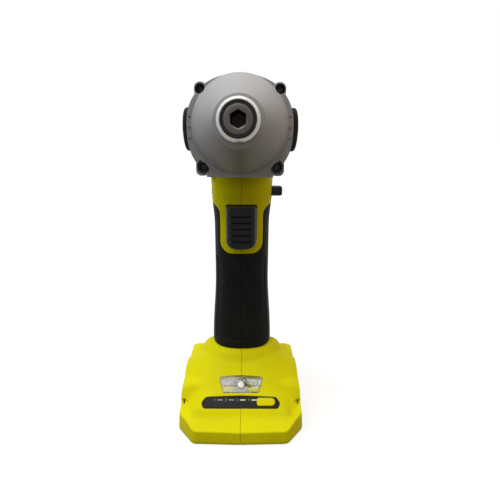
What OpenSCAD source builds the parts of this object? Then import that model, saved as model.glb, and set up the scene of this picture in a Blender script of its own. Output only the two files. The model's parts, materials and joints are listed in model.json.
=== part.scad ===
// Cordless impact driver, the bare tool without its battery pack.
// Millimetres, +Z up, the nose points to -Y.
// The origin is the middle of the battery socket's mouth, on the resting face of the foot.
// Left and right are the user's: left is +X.

/* [Head] */
// Height of the drive axis above the resting face
axis_height = 190; // [187:1:194]
// Distance from the battery socket's axis forward to the hammer case flange
flange_reach = 73; // [71:0.5:75]
// Width of the motor housing
head_w = 55; // [54:0.5:58]
// Height of the motor housing above the drive axis
head_up = 25.3; // [25:0.1:26.5]
// Depth of the motor housing below the drive axis
head_down = 26; // [25.5:0.1:27]
// Thickness of the rubber side bumpers
bumper_t = 3.2; // [2.6:0.2:4]

/* [Hammer case] */
// Length of the cone in front of the flange
cone_length = 25; // [24:0.5:27]
// Diameter of the cone at the flange
cone_base_d = 48.5; // [48:0.1:49.5]
// Diameter of the small end of the cone
cone_nose_d = 24.4; // [23:0.2:26]
// Thickness of the flange
flange_t = 10; // [9:0.5:11]
// Outside diameter of the barrel that enters the housing
barrel_d = 46; // [46:0.1:46.4]
// Wall of the barrel
barrel_wall = 2.2; // [2:0.05:2.25]

/* [Bit holder] */
// Width across the flats of the hex socket
hex_af = 6.45; // [6.4:0.01:6.5]
// Depth of the hex socket
hex_depth = 26; // [20:0.5:28]
// Outside diameter of the anvil nose
anvil_d = 11.8; // [11.6:0.1:12]
// How far the anvil stands out of the collar
anvil_proud = 3; // [2:0.5:4]
// Outside diameter of the collar
collar_d = 18.6; // [18.2:0.1:19.4]
// Length of the collar
collar_length = 14; // [13.5:0.1:15]
// Travel of the collar
collar_travel = 3; // [2.5:0.1:3.2]

/* [Impact mechanism] */
// Diameter of the hammer
hammer_d = 40.4; // [39:0.1:40.6]
// Length of the hammer body
hammer_length = 20; // [19.5:0.1:20.5]
// Backward travel of the hammer
hammer_travel = 7; // [5:0.5:7.5]
// Diameter of the spindle shaft
spindle_d = 13; // [12.8:0.1:13.2]

/* [Gears] */
// Gear module
gear_module = 0.8; // [0.79:0.01:0.81]
// Teeth of the motor pinion
sun_teeth = 9; // [9]
// Teeth of each planet
planet_teeth = 18; // [18]
// Face width of the planets
gear_w = 7.4; // [7:0.1:8]
// Backlash taken off every tooth
backlash = 0.16; // [0.14:0.01:0.2]

/* [Motor] */
// Diameter of the motor can
can_d = 36; // [35.6:0.1:36.4]
// Length of the motor can
can_length = 44; // [43:0.5:45]
// Diameter of the rotor shaft
shaft_d = 3.2; // [3:0.1:3.3]

/* [Handle] */
// Width of the neck under the head
neck_w = 41; // [40:0.5:42]
// Width of the handle at its waist
waist_w = 37.5; // [36.5:0.1:38.5]
// Width of the handle at its base
base_w = 42.6; // [41.4:0.2:44]
// Depth of the handle at the neck
neck_depth = 47; // [46:0.5:49]
// Depth of the handle at its base
base_depth = 43; // [42.5:0.5:45]
// How far the neck leans forward of the base
rake = 5.5; // [4.5:0.5:6.5]
// Thickness of the rubber grip
grip_t = 1.8; // [1.4:0.1:2]
// Wall of the housing
wall = 2.4; // [2.2:0.1:2.6]

/* [Trigger and switch] */
// Width of the trigger
trigger_w = 19; // [18.6:0.2:19.8]
// Height of the trigger
trigger_h = 26.2; // [25:0.2:27]
// How far the trigger stands out of the handle
trigger_proud = 10; // [8:0.5:11]
// Travel of the trigger
trigger_travel = 6.5; // [5:0.5:7]
// Height of the direction shuttle's middle
shuttle_z = 151; // [150.6:0.1:151.6]
// Length of the direction shuttle
shuttle_length = 47; // [46:0.5:48]
// Travel of the direction shuttle
shuttle_travel = 7; // [6:0.25:7.5]

/* [Foot] */
// Width of the foot
foot_w = 81.4; // [80:0.2:84]
// Length of the foot
foot_length = 99; // [97:0.5:103]
// Distance from the battery socket's axis to the front of the foot
foot_reach = 71; // [70:0.5:72]
// Height of the front lip
foot_lip = 8; // [7.5:0.1:9]
// Height of the shoulders beside the handle
shoulder_z = 23.5; // [22.6:0.1:24.4]
// Tilt of the sloping top that carries the panel
panel_tilt = 33; // [32.5:0.1:33.5]
// Width of the charge panel
panel_w = 51.5; // [50:0.5:52.5]
// Length of the charge panel along the slope
panel_l = 8.6; // [8.2:0.1:8.8]
// Width of the work-light lens at its top
lens_w = 29.5; // [28:0.5:30]
// Length of the work-light lens along the slope
lens_l = 12.4; // [12:0.1:12.8]
// Travel of the mode button
button_travel = 0.8; // [0.6:0.1:0.9]

/* [Battery socket] */
// Width of the battery socket
socket_w = 25.2; // [24.6:0.1:25.4]
// Front to back size of the battery socket
socket_depth = 30.4; // [29.6:0.1:30.8]
// Height of the battery socket
socket_h = 70; // [66:0.5:72]

/* [Hidden] */
$fn = 32;

// Clearances
// Radial running fit of turning and sliding pieces
run_fit = 0.05;
// Radial fit of pieces that are pressed or glued in
seat_fit = 0.02;
// Gap round pieces that move past others
move_gap = 0.4;
// Gap between neighbouring still pieces
rest_gap = 0.2;
// Overshoot of every cut past the face it opens
past = 1;
// Thickness of the slices that blended forms are drawn through
slice_t = 0.06;
// Longer than any piece of the tool, for cuts that run right through
span = 300;
// Radius at which a bore of straight facets still clears a round piece
function snug(r) = (r + seat_fit) / cos(180 / $fn);

// Colours of the materials
lime = [0.80, 0.78, 0.02];
black_rubber = [0.06, 0.06, 0.065];
black_plastic = [0.05, 0.05, 0.05];
case_grey = [0.45, 0.45, 0.46];
steel = [0.62, 0.62, 0.63];
dark_steel = [0.30, 0.30, 0.31];
bright_steel = [0.85, 0.85, 0.86];
copper = [0.72, 0.42, 0.22];
bronze = [0.65, 0.48, 0.25];
carbon = [0.15, 0.15, 0.15];
clear = [0.85, 0.88, 0.80];
board_green = [0.10, 0.32, 0.16];
lead_red = [0.65, 0.08, 0.06];

// Stations of the drive line from the tip to the rear
flange_y = -flange_reach;
nose_y = flange_y - cone_length;
housing_y = flange_y + flange_t;
collar_gap = 1;
collar_y = nose_y - collar_gap - collar_length;
anvil_y = collar_y - anvil_proud;
nose_lip = 1.5;
bush_y = nose_y + nose_lip;
bush_length = 15;
bush_end_y = bush_y + bush_length;
thrust_t = 1;
play = 0.1;
shoulder_y = bush_end_y + thrust_t + 2 * play;
hub_t = 2;
wing_y = shoulder_y + hub_t;
wing_t = 6;
wing_end_y = wing_y + wing_t;
hammer_y = wing_end_y + move_gap;
hammer_end_y = hammer_y + hammer_length;
spindle_y = wing_end_y + rest_gap;
carrier_gap = 2.5;
carrier_y = hammer_end_y + hammer_travel + carrier_gap;
carrier_front_t = 3.5;
planet_gap = 0.3;
planet_y = carrier_y + carrier_front_t + planet_gap;
carrier_rear_y = planet_y + gear_w + planet_gap;
carrier_rear_t = 2.5;
ring_over = 0.4;
ring_y = planet_y - ring_over;
ring_w = gear_w + 2 * ring_over;
plate_y = ring_y + ring_w;
plate_recess = 3;
plate_gap = 0.7;
bearing_t = 6;
bearing_y = plate_y + plate_recess;
plate_floor = 1;
plate_end_y = bearing_y + bearing_t + plate_floor;
can_y = plate_end_y;
can_end_y = can_y + can_length;
bell_t = 3;
bell_boss = 4;
bell_floor = 1.6;
bell_boss_r = 8.2;
bell_end_y = can_end_y + bell_t + bell_boss;
bell_gap = 0.8;
head_end_y = bell_end_y + bell_gap + wall;

// Radii of the drive line
barrel_r = barrel_d / 2;
barrel_bore_r = barrel_r - barrel_wall;
barrel_gap = 0.05;
anvil_r = anvil_d / 2;
anvil_bevel = 0.8;
hex_bevel = 1;
nose_gap = 0.7;
bush_r = 8.5;
hub_r = 8.5;
wing_r = 13.5;
wing_w = 9;
wing_gap = 0.8;
spindle_r = spindle_d / 2;
pilot_r = 3.9;
pilot_length = 6.5;
hammer_r = hammer_d / 2;
recess_in_r = 9.8;
recess_out_r = 16.4;
recess_depth = 12;
cam_ball_r = 2.4;
cam_ball_y = hammer_y + cam_ball_r + hammer_travel;
thrust_ball_r = 1;
thrust_ball_count = 12;
spring_mid_r = 13;
spring_wire_r = 1.2;
spring_turns = 4;
washer_t = 1;
dog_w = 40;
dog_gap = 4;
dog_start = asin(wing_w / 2 / hub_r) + dog_gap;

// Gear sizes
ring_teeth = sun_teeth + 2 * planet_teeth;
pressure_angle = 25;
addendum = 0.8;
dedendum = 1.05;
sun_r = gear_module * sun_teeth / 2;
planet_r = gear_module * planet_teeth / 2;
ring_r = gear_module * ring_teeth / 2;
orbit_r = sun_r + planet_r;
carrier_gap_r = 1;
carrier_r = ring_r - gear_module * addendum - carrier_gap_r;
pin_r = 2;
pin_seat = 1;
shaft_room = 1.2;
sun_gap = 0.45;
sun_bore_r = sun_r + gear_module * addendum + sun_gap;
spindle_wall = 1.3;
hub_out_r = sun_bore_r + spindle_wall;
bearing_section = 6;
shield_depth = 0.5;
shield_in = 0.25;
shield_out = 0.78;
bearing_r = hub_out_r + bearing_section;
web_w = 12;
web_in = planet_r + gear_module * addendum + spindle_wall;

// Motor sizes
can_r = can_d / 2;
can_wall = 1.1;
can_floor = 1.5;
can_bore_r = can_r - can_wall;
shaft_r = shaft_d / 2;
pinion_hub = 4;
rotor_bearing_r = 6.5;
rotor_bearing_t = 5;
boss_wall = 1.4;
fan_y = can_y + 7;
fan_t = 4;
fan_gap = 1.4;
fan_r = can_bore_r - fan_gap;
fan_floor = 1.3;
fan_hub_r = shaft_r + 2.4;
fan_blades = 9;
core_y = can_y + 14;
core_length = 20;
core_r = can_bore_r - 3.8;
turn_t = 2.5;
slot_count = 5;
slot_r = 3.2;
slot_mouth = 1.8;
slot_mid_r = core_r - 4.6;
magnet_in_r = core_r + 0.5;
magnet_overhang = 2;
magnet_arc = 150;
commutator_r = 5;
commutator_length = 6;
commutator_back = 0.7;
segment_depth = 1.2;
segment_gap = 0.5;
commutator_y = can_end_y - commutator_length - commutator_back;
brush_w = 5;
brush_t = 4;
brush_length = 6.4;
brush_lead = 1;
brush_y = commutator_y + brush_lead;
brush_box_wall = 0.8;
brush_box_gap = 1.4;
brush_box_end = can_bore_r - 1;
brush_spring_r = 1.4;
brush_wire_r = 0.28;
brush_turns = 3;
lead_notch_w = 25;
lead_rise = 2;
rib_t = 3;
rib_front = 4;
rib_back = 10;
bell_rib_back = 3.4;

// Bit holder sizes
hex_r = hex_af / 2 / cos(30);
ball_r = 1.5;
ball_place_r = 4.4;
ramp_length = 4;
ball_y = collar_y + collar_length - ramp_length;
ball_lift = collar_travel / 3;
land_back = 5.5;
land_front = collar_length - land_back;
land_r = anvil_r + 0.08;
ramp_r = anvil_r + 0.15;
collar_recess_r = 7.5;
collar_rim_r = 7.95;
collar_taper = 2.6;
collar_edge = 0.7;
ring_groove_r = 5.2;
ring_out_r = 6.9;
ring_place = 1.6;
ring_t = 0.7;
collar_washer_t = 0.8;
washer_place = ring_place + ring_t + 0.1;
collar_spring_r = 6.75;
collar_wire_r = 0.35;
collar_turns = 2.5;

// Case flange outline and its screws
flange_w = 53.2;
flange_up = 23.7;
flange_down = 25.8;
flange_power = 2.2;
low_power = 2.8;
ear_r = 3.5;
ear_w = 6.8;
ear_h = 8.4;
ear_round = 2.5;
flange_foot_w = 34;
flange_foot_h = 4;
ear_tail = 11;
ear_tail_r = 1.6;
ear_back = 1.5;
screw_places = [[19.8, 17], [-19.8, 17], [19.2, -21], [-19.2, -21]];
screw_head_r = 2.2;
screw_head_t = 2.4;
screw_drive_r = 1.2;
screw_drive_t = 1.5;
screw_r = 1.5;
screw_length = 13;
screw_seat = 7;
dimple_r = 0.6;
dimple_depth = 1.2;
dimple_x = 25;
dimple_places = [11, 3.6, -1.6, -6.8];

// Rounding of the head's rear: distance from its end and share of the full section
dome = [[15, 1], [7, 0.95], [2.5, 0.86], [slice_t, 0.74]];

// Side bumper outline, rounded corners given by their centres
bumper_sunk = 3.2;
bumper_corner_r = 5.2;
bumper_gap = 0.6;
bumper_y = housing_y + bumper_corner_r + bumper_gap;
bumper_back = 6;
bumper_end_y = plate_end_y - bumper_back;
bumper_high = 4.3;
bumper_low = -7.8;

// Handle stations
base_z = 39.5;
// Rim of the grip on the foot, which falls towards the rear: distance along the tool and height
rim_line = [[-12, base_z], [0, 38], [8, 34.5], [15, 31.5], [21.5, 30]];
rim_end_z = rim_line[len(rim_line) - 1][1];
waist_low_z = 95;
waist_high_z = 128;
neck_z = 152;
head_join_z = 170;
handle_power = 2.5;
grip_top_z = 143.5;
handle_stations = [rim_end_z - 4, base_z, 57, 76, waist_low_z, waist_high_z, 140, neck_z, head_join_z];
// Fillet of the neck under the head: height, growth front and back
neck_fillet = [[neck_z, 0], [157.7, 0.9], [162.3, 3.9], [165.6, 7.7], [169.2, 7.7]];
fillet_in = 0.15;

// Trigger and switch stations
trigger_z = 117.2;
trigger_mid_z = trigger_z + trigger_h / 2;
trigger_y = handle_front(trigger_mid_z) - trigger_proud;
trigger_wall = 5.5;
trigger_floor_y = trigger_y + trigger_wall;
trigger_bow = 2.6;
trigger_steps = 12;
trigger_spring_r = 4.2;
trigger_wire_r = 0.45;
trigger_turns = 7;
trigger_back_y = -21;
trigger_stop = 2;
switch_y = trigger_back_y + trigger_travel + trigger_stop;
switch_w = 20;
switch_end_y = 9.5;
switch_z = 106;
switch_top_z = 145;
sink_w = 14;
sink_t = 3;
sink_floor = 1.2;
sink_slot = 1.6;
sink_margin = 4;
plunger_r = 2.5;
plunger_engaged = 2;
bezel_w = 28;
bezel_bottom = 6;
bezel_r = 11;
bezel_flare = 7;
bezel_depth = 16;
lever_y = 4;
lever_arm = 14;
lever_tilt = asin(shuttle_travel / 2 / lever_arm);
lever_pin_r = 2;
lever_hub_r = 3.7;
shuttle_y = lever_y - lever_arm;
shuttle_w = 9;
shuttle_h = 6.4;
shuttle_round = 0.6;
lever_t = 2;
lever_gap = 0.3;
lever_room = 3;
lever_arm_w = 3;
lever_slot_gap = 0.35;
lever_slot_over = 0.9;
switch_rib_w = 7;
switch_rib_l = 14;

// Foot stations
foot_y = -foot_reach;
foot_end_y = foot_y + foot_length;
sole_bevel = 1;
corner_w = 11;
corner_l = 15.5;
corner_ease = 0.4;
rear_corner_r = 12;
shoulder_in = 0.7;
shoulder_rear = 8;
shoulder_corner_r = 7;
shoulder_cut = 5;
shoulder_front_y = foot_y + 31;
shoulder_run = 10;
shoulder_end_y = foot_end_y - 0.4;
deck_rear = 2;
deck_z = 11;
deck_front_y = foot_y + 9.3;
deck_cut = 8;
slope_y = foot_y + 13.4;
slope_z = 14.8;
apron_y = foot_y + 10;
apron_z = 11.4;
slope_rise_y = -base_depth / 2 - 2;
slope_end_z = slope_height(slope_rise_y);
slope_half_w = 30;
slope_end_half_w = 16;
slope_back_y = -10;
apron_half_w = slope_half_w + 1;
flank_y = foot_y + 26;
flank_half_w = 36;
flank_drop = 9.6;
// Dome from the rim into the foot: height, growth to the sides, to the rear and to the front
dome_steps = [
  [base_z, 1.2, 1.2, 1.2], [37, 4.5, 1.5, 4], [33.5, 7.2, 2, 6.4], [28, 9.4, 2.6, 8.2], [20.5, 10.7, 3.2, 9]
];
// Hollow in each side of the foot and the notch before it: depth, radius, start, length, height
scoops = [[2.7, 5.6, foot_y + 31, 11, 19.4], [4, 2, foot_y + 23.6, 0.6, 12.6]];
panel_from = 1.6;
panel_t = 1.4;
panel_point = 0.38;
panel_chamfer = 3.4;
panel_crown = 1.2;
panel_lead = 2;
lens_gap = 1.8;
lens_from = panel_from + panel_l + lens_gap;
lens_t = 3;
lens_taper = 5.5;
lens_low_w = lens_w - lens_taper;
lens_chamfer = 1.8;
lens_point = 4.5;
lens_top_edge = 2.6;
lens_crown = 1.4;
button_w = 11.4;
button_l = 4.8;
button_x = 16.4;
button_place = 0.5;
button_t = 3.4;
button_proud = 0.9;
window_depth = 8;
bar_count = 4;
bar_x = -13.5;
bar_pitch = 7.4;
bar_w = 3.5;
bar_l = 0.8;
bar_place = 0.66;
board_drop = 6.5;
board_t = 1.6;
board_w = 46;
board_margin = 1;
post_x = 19;
post_r = 2.6;
emitter_from = lens_from + lens_l / 2;
emitter_r = 2.4;

// Battery socket and terminal block
socket_power = 2.8;
tube_wall = 2.2;
block_h = 12;
blade_places = [-7, 0, 7];
blade_h = 13;
blade_t = 1;
blade_w = 10;
blade_tail = 2;
blade_end_z = socket_h + block_h + blade_tail;
lead_x = 7;
lead_top_x = 10;
lead_y = 4;
battery_lead_r = 1.3;
motor_lead_r = 1.1;
lead_sides = 8;
lead_bend = 5;

// Housing screws: front to back place, height, seat depth across the housing
foot_screw_z = 9;
foot_screw_seat = foot_w / 5;
neck_screw_seat = 12;
grip_screw_seat = 10;
housing_screw_places = [
  [10, 161.5, neck_screw_seat],
  [-22, 160.5, neck_screw_seat],
  [-3, waist_low_z, grip_screw_seat],
  [foot_y + 37, foot_screw_z, foot_screw_seat],
  [foot_end_y - 7, foot_screw_z, foot_screw_seat]
];
housing_screw_r = 1.5;
housing_head_r = 2.9;
housing_head_t = 2.4;
housing_boss_r = 3.8;
housing_screw_length = 18;

// Vent slots in the motor housing
vent_count = 6;
vent_pitch = 5;
vent_w = 2.2;
vent_h = 17;
vent_y = can_y + 14;
vent_depth = 8;
vent_drop = 2;

echo("collar spring gap", spring_gap(collar_spring_r, collar_wire_r, collar_spring_length(), collar_turns));
echo("hammer spring gap", spring_gap(spring_mid_r, spring_wire_r, hammer_spring_length(), spring_turns));

// Shape functions

function mix(a, b, t) = a + (b - a) * t;
function ease(t) = (1 - cos(180 * min(max(t, 0), 1))) / 2;

// Half width of an oval's edge in the direction of an angle
function oval_term(value, power) = sign(value) * pow(abs(value), 2 / power);

// Outline of an oval whose two halves may have different heights and squareness
function oval(half_w, high, low, power, high_power = 0, count = 32) = [
  for (i = [0 : count - 1])
    let (t = 360 * i / count, s = sin(t), p = s > 0 && high_power > 0 ? high_power : power)
      [half_w * oval_term(cos(t), p), (s > 0 ? high : low) * oval_term(s, p)]
];

function handle_w(z) =
  z < waist_low_z ? mix(base_w, waist_w, ease((z - base_z) / (waist_low_z - base_z)))
  : mix(waist_w, neck_w, ease((z - waist_high_z) / (neck_z - waist_high_z)));
function handle_share(z) = (z - base_z) / (neck_z - base_z);
function handle_depth(z) = mix(base_depth, neck_depth, handle_share(z));
function handle_mid(z) = -rake * handle_share(z);
function slope_height(y) = slope_z + (y - slope_y) * tan(panel_tilt);
function handle_front(z) = handle_mid(z) - handle_depth(z) / 2;

function hammer_spring_y() = hammer_end_y - recess_depth + 2 * thrust_ball_r + washer_t + 3 * play;
function hammer_spring_length() = carrier_y - hammer_spring_y() - play;
function brush_spring_length() = brush_box_end - brush_box_wall - commutator_r - brush_length - 3 * play;
function collar_spring_y() = collar_y + washer_place + collar_washer_t + play;
function collar_spring_length() = collar_y + land_front - collar_spring_y() - play;

// Involute gear outline with a stated tip, root and thickness at the pitch circle
function inv(angle) = tan(angle) - angle * PI / 180;
function half_tooth(r, pitch_r, thick) =
  let (base_r = pitch_r * cos(pressure_angle))
    (thick / 2 / pitch_r + inv(pressure_angle) - inv(acos(min(1, base_r / max(r, base_r))))) * 180 / PI;
function gear_outline(teeth, tip_r, root_r, thick) =
  let (pitch_r = gear_module * teeth / 2, steps = 3)
    [for (i = [0 : teeth - 1], k = [0 : 2 * steps + 1])
      let (
        rising = k <= steps,
        share = (rising ? k : 2 * steps + 1 - k) / steps,
        r = mix(root_r, tip_r, share),
        a = half_tooth(r, pitch_r, thick),
        turn = 360 * i / teeth + (rising ? -a : a)
      )
        [r * cos(turn), r * sin(turn)]
    ];

// Points of a helix along Z
function helix(r, length, turns) =
  let (count = 8 * turns)
    [for (i = [0 : count]) [r * cos(360 * i / 8), r * sin(360 * i / 8), length * i / count]];

// Least distance between neighbouring turns of a helix, measured on its points
function spring_gap(r, wire_r, length, turns) =
  let (points = helix(r, length - 2 * wire_r, turns))
    min([for (i = [0 : len(points) - 9]) norm(points[i + 8] - points[i])]) - 2 * wire_r;

function unit(v) = v / norm(v);
function run_of(path, i) = unit(path[min(i + 1, len(path) - 1)] - path[max(i - 1, 0)]);

// Round section swept along a path; the guide is never parallel to the path
function ring_at(path, i, r, sides, guide) =
  let (t = run_of(path, i), u = unit(cross(t, guide)), v = cross(t, u))
    [for (k = [0 : sides - 1]) path[i] + r * (cos(360 * k / sides) * u + sin(360 * k / sides) * v)];

// Shape modules

module swept(path, r, sides, guide) {
  rings = len(path);
  points = [for (i = [0 : rings - 1], p = ring_at(path, i, r, sides, guide)) p];
  sheath = [
    for (i = [0 : rings - 2], k = [0 : sides - 1])
      [i * sides + k, (i + 1) * sides + k, (i + 1) * sides + (k + 1) % sides, i * sides + (k + 1) % sides]
  ];
  start = [for (k = [0 : sides - 1]) k];
  finish = [for (k = [sides - 1 : -1 : 0]) (rings - 1) * sides + k];
  polyhedron(points = points, faces = concat(sheath, [start, finish]));
}

module coil(r, wire_r, length, turns)
  translate([0, 0, wire_r])
    swept(helix(r, length - 2 * wire_r, turns), wire_r, 6, [0, 0, 1]);

// Places a form on the drive axis: its Z runs to the rear, its Y runs down
module on_axis(y)
  translate([0, y, axis_height])
    rotate([-90, 0, 0])
      children();

module rod(y, length, r)
  on_axis(y)
    cylinder(h = length, r = r);

module tube(y, length, r_out, r_in)
  on_axis(y)
    difference() {
      cylinder(h = length, r = r_out);
      translate([0, 0, -past])
        cylinder(h = length + 2 * past, r = r_in);
    }

// Box given by its two corners
module soft_square(w, h, r) {
  square([w - 2 * r, h], center = true);
  square([w, h - 2 * r], center = true);
  for (x = [-1, 1], y = [-1, 1])
    translate([x * (w / 2 - r), y * (h / 2 - r)])
      circle(r = r);
}

module block(low, high)
  translate(low)
    cube(high - low);

// Form on the sloping top of the foot: X across, Y up the slope, Z out of it
module on_slope(from, out = 0)
  translate([0, slope_y, slope_z])
    rotate([panel_tilt, 0, 0])
      translate([0, from, out])
        children();

// Keeps the half of a form on one side of the parting plane
module half(side)
  intersection() {
    children();
    translate([side > 0 ? 0 : -span, -span, -span])
      cube([span, 2 * span, 2 * span]);
  }

module both_sides()
  for (side = [-1, 1])
    scale([side, 1, 1])
      children();

// Housing forms

module head_slice(y, shrink, inset)
  on_axis(y)
    linear_extrude(slice_t)
      polygon(oval(
        head_w / 2 * shrink - inset,
        head_down * shrink - inset,
        head_up * shrink - inset,
        flange_power,
        low_power
      ));

module head_form(front_y, inset) {
  rear = head_end_y - inset;
  steps = concat([[front_y, 1]], [for (step = dome) [rear - step[0], step[1]]]);
  for (i = [0 : len(steps) - 2])
    hull() {
      head_slice(steps[i][0], steps[i][1], inset);
      head_slice(steps[i + 1][0], steps[i + 1][1], inset);
    }
}

module handle_slice(z, inset, swell = 0)
  translate([0, handle_mid(z), z])
    linear_extrude(slice_t)
      polygon(oval(
        handle_w(z) / 2 - inset,
        handle_depth(z) / 2 - inset + swell,
        handle_depth(z) / 2 - inset + swell,
        handle_power
      ));

module handle_form(inset)
  for (i = [0 : len(handle_stations) - 2])
    hull() {
      handle_slice(handle_stations[i], inset);
      handle_slice(handle_stations[i + 1], inset);
    }

// Outline of the foot seen from above
function foot_outline(inset) =
  let (
    side = foot_w / 2 - inset,
    front = foot_y + inset,
    rear = foot_end_y - inset,
    r = rear_corner_r - inset,
    bevel = inset * corner_ease
  )
    concat(
      [[-side + corner_w - bevel, front], [side - corner_w + bevel, front], [side, front + corner_l - bevel]],
      [for (a = [0 : 15 : 90]) [side - r + r * cos(a), rear - r + r * sin(a)]],
      [for (a = [90 : 15 : 180]) [-side + r + r * cos(a), rear - r + r * sin(a)]],
      [[-side, front + corner_l - bevel]]
    );

// Outline of the foot's deck or shoulders seen from above
function top_outline(front, cut, rear, corner_r, inset) =
  let (
    side = foot_w / 2 - shoulder_in - inset,
    low = front + inset,
    high = rear - inset,
    r = corner_r - inset,
    bevel = cut - inset * corner_ease
  )
    concat(
      [[-side, low + bevel], [-side + bevel, low], [side - bevel, low], [side, low + bevel]],
      [for (a = [0 : 15 : 90]) [side - r + r * cos(a), high - r + r * sin(a)]],
      [for (a = [90 : 15 : 180]) [-side + r + r * cos(a), high - r + r * sin(a)]]
    );

module top_slice(z, front, cut, rear, corner_r, inset)
  translate([0, 0, z - inset])
    linear_extrude(slice_t)
      polygon(top_outline(front, cut, rear, corner_r, inset));

// Everything above the rim, lowered by a drop
module above_rim(drop)
  translate([-span / 2, 0, -drop])
    rotate([90, 0, 90])
      linear_extrude(span)
        polygon(concat(
          [[-span, base_z]], rim_line, [[span, rim_end_z], [span, span], [-span, span]]
        ));

module slope_bar(y, z, half_w)
  translate([-half_w, y, z])
    cube([2 * half_w, slice_t, slice_t]);

module foot_form(inset) {
  hull() {
    translate([0, 0, inset])
      linear_extrude(slice_t)
        polygon(foot_outline(inset + sole_bevel));
    translate([0, 0, inset + sole_bevel])
      linear_extrude(foot_lip - 1.5 * inset - sole_bevel)
        polygon(foot_outline(inset));
    top_slice(deck_z, deck_front_y, deck_cut, foot_end_y - deck_rear, rear_corner_r, inset);
  }
  hull() {
    top_slice(foot_lip, shoulder_front_y - shoulder_run, shoulder_cut, shoulder_end_y, rear_corner_r, inset);
    top_slice(
      shoulder_z, shoulder_front_y, shoulder_cut, foot_end_y - shoulder_rear, shoulder_corner_r, inset
    );
  }
  drop_y = inset * sin(panel_tilt);
  drop_z = inset * cos(panel_tilt);
  hull() {
    slope_bar(apron_y + inset, apron_z - inset, apron_half_w - inset);
    slope_bar(slope_y + drop_y, slope_z - drop_z, slope_half_w - inset);
    for (y = [slope_rise_y + drop_y, slope_back_y]) {
      slope_bar(y, slope_end_z - drop_z, slope_end_half_w - inset);
      slope_bar(y, slope_end_z - flank_drop - drop_z, flank_half_w - inset);
      slope_bar(y, foot_lip - inset, flank_half_w - inset);
    }
    slope_bar(flank_y + drop_y, slope_height(flank_y) - flank_drop - drop_z, flank_half_w - inset);
  }
  difference() {
    hull()
      for (step = dome_steps)
        translate([0, 0, step[0] - inset])
          linear_extrude(slice_t)
            polygon(oval(
              base_w / 2 + step[1] - inset,
              base_depth / 2 + step[2] - inset,
              base_depth / 2 + step[3] - inset,
              handle_power
            ));
    above_rim(inset);
  }
}

// Front region that stays hard plastic round the trigger, seen from the front
module bezel_zone() {
  bezel_low = trigger_z - bezel_bottom;
  translate([0, bezel_back_y(), 0])
    rotate([90, 0, 0])
      linear_extrude(span)
        union() {
          translate([-bezel_w / 2, bezel_low + bezel_r])
            square([bezel_w, span]);
          translate([-bezel_w / 2 + bezel_r, bezel_low])
            square([bezel_w - 2 * bezel_r, bezel_r + past]);
          for (side = [-1, 1]) {
            translate([side * (bezel_w / 2 - bezel_r), bezel_low + bezel_r])
              circle(r = bezel_r);
            difference() {
              translate([side * (bezel_w + bezel_flare) / 2, grip_top_z - bezel_flare / 2])
                square([bezel_flare + past, bezel_flare + past], center = true);
              translate([side * (bezel_w / 2 + bezel_flare), grip_top_z - bezel_flare])
                circle(r = bezel_flare);
            }
          }
        }
  block([-span, -span, grip_top_z], [span, span, head_join_z + head_down]);
}
function bezel_back_y() = handle_front(trigger_mid_z) + bezel_depth;

// Left bumper pad; a negative inset grows it
module bumper_form(inset)
  translate([head_w / 2 - bumper_sunk, 0, axis_height])
    rotate([90, 0, 90])
      linear_extrude(bumper_sunk + bumper_t - inset)
        hull()
          for (y = [bumper_y, bumper_end_y], z = [bumper_low, bumper_high])
            translate([y, z])
              circle(r = bumper_corner_r - inset);

// Everything inside the skin that stays solid
module stiffeners() {
  difference() {
    union() {
      for (y = [can_y + rib_front, can_end_y - rib_back])
        tube(y, rib_t, barrel_r + rib_t, can_r);
      tube(bell_end_y - bell_rib_back, wall, barrel_r, bell_boss_r);
    }
    block(
      [-lead_notch_w / 2, can_y, axis_height - 2 * head_down],
      [lead_notch_w / 2, head_end_y, axis_height - bell_boss_r + lead_rise]
    );
  }
  linear_extrude(socket_h)
    polygon(oval(
      socket_w / 2 + tube_wall, socket_depth / 2 + tube_wall, socket_depth / 2 + tube_wall, socket_power
    ));
  for (z = [switch_z + rib_front, switch_top_z - rib_back])
    block(
      [-switch_w / 2 - switch_rib_w, switch_y + rib_t, z],
      [switch_w / 2 + switch_rib_w, switch_y + rib_t + switch_rib_l, z + rib_t]
    );
  for (place = housing_screw_places)
    translate([-span / 2, place[0], place[1]])
      rotate([0, 90, 0])
        cylinder(h = span, r = housing_boss_r);
  board_posts();
}

module board_posts()
  for (x = [-post_x, post_x])
    on_slope(emitter_from, -board_drop + rest_gap)
      translate([x, 0, 0])
        cylinder(h = board_drop, r = post_r);

module housing_screw_holes()
  for (place = housing_screw_places)
    translate([0, place[0], place[1]])
      rotate([0, 90, 0]) {
        translate([0, 0, -place[2] - span])
          cylinder(h = span, r = housing_head_r + rest_gap);
        translate([0, 0, -place[2] - past])
          cylinder(h = housing_screw_length + 2 * past, r = housing_screw_r + run_fit);
      }

module case_screw_holes()
  for (place = screw_places)
    on_axis(housing_y - past)
      translate([place[0], -place[1], 0])
        cylinder(h = screw_length + past, r = screw_r + run_fit);

module vents()
  both_sides()
    for (i = [0 : vent_count - 1])
      translate([head_w / 2 - vent_depth, vent_y + i * vent_pitch, axis_height - vent_drop])
        rotate([0, 90, 0])
          linear_extrude(2 * vent_depth)
            hull()
              for (end = [-1, 1])
                translate([end * (vent_h - vent_w) / 2, 0])
                  circle(d = vent_w, $fn = 12);

module side_scoops()
  both_sides()
    for (cut = scoops)
      translate([foot_w / 2 - cut[0], cut[2], cut[4]])
        rotate([0, 90, 0])
          hull()
            for (y = [0, cut[3]])
              translate([0, y, 0])
                cylinder(h = cut[0] + past, r = cut[1], $fn = 20);

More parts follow.
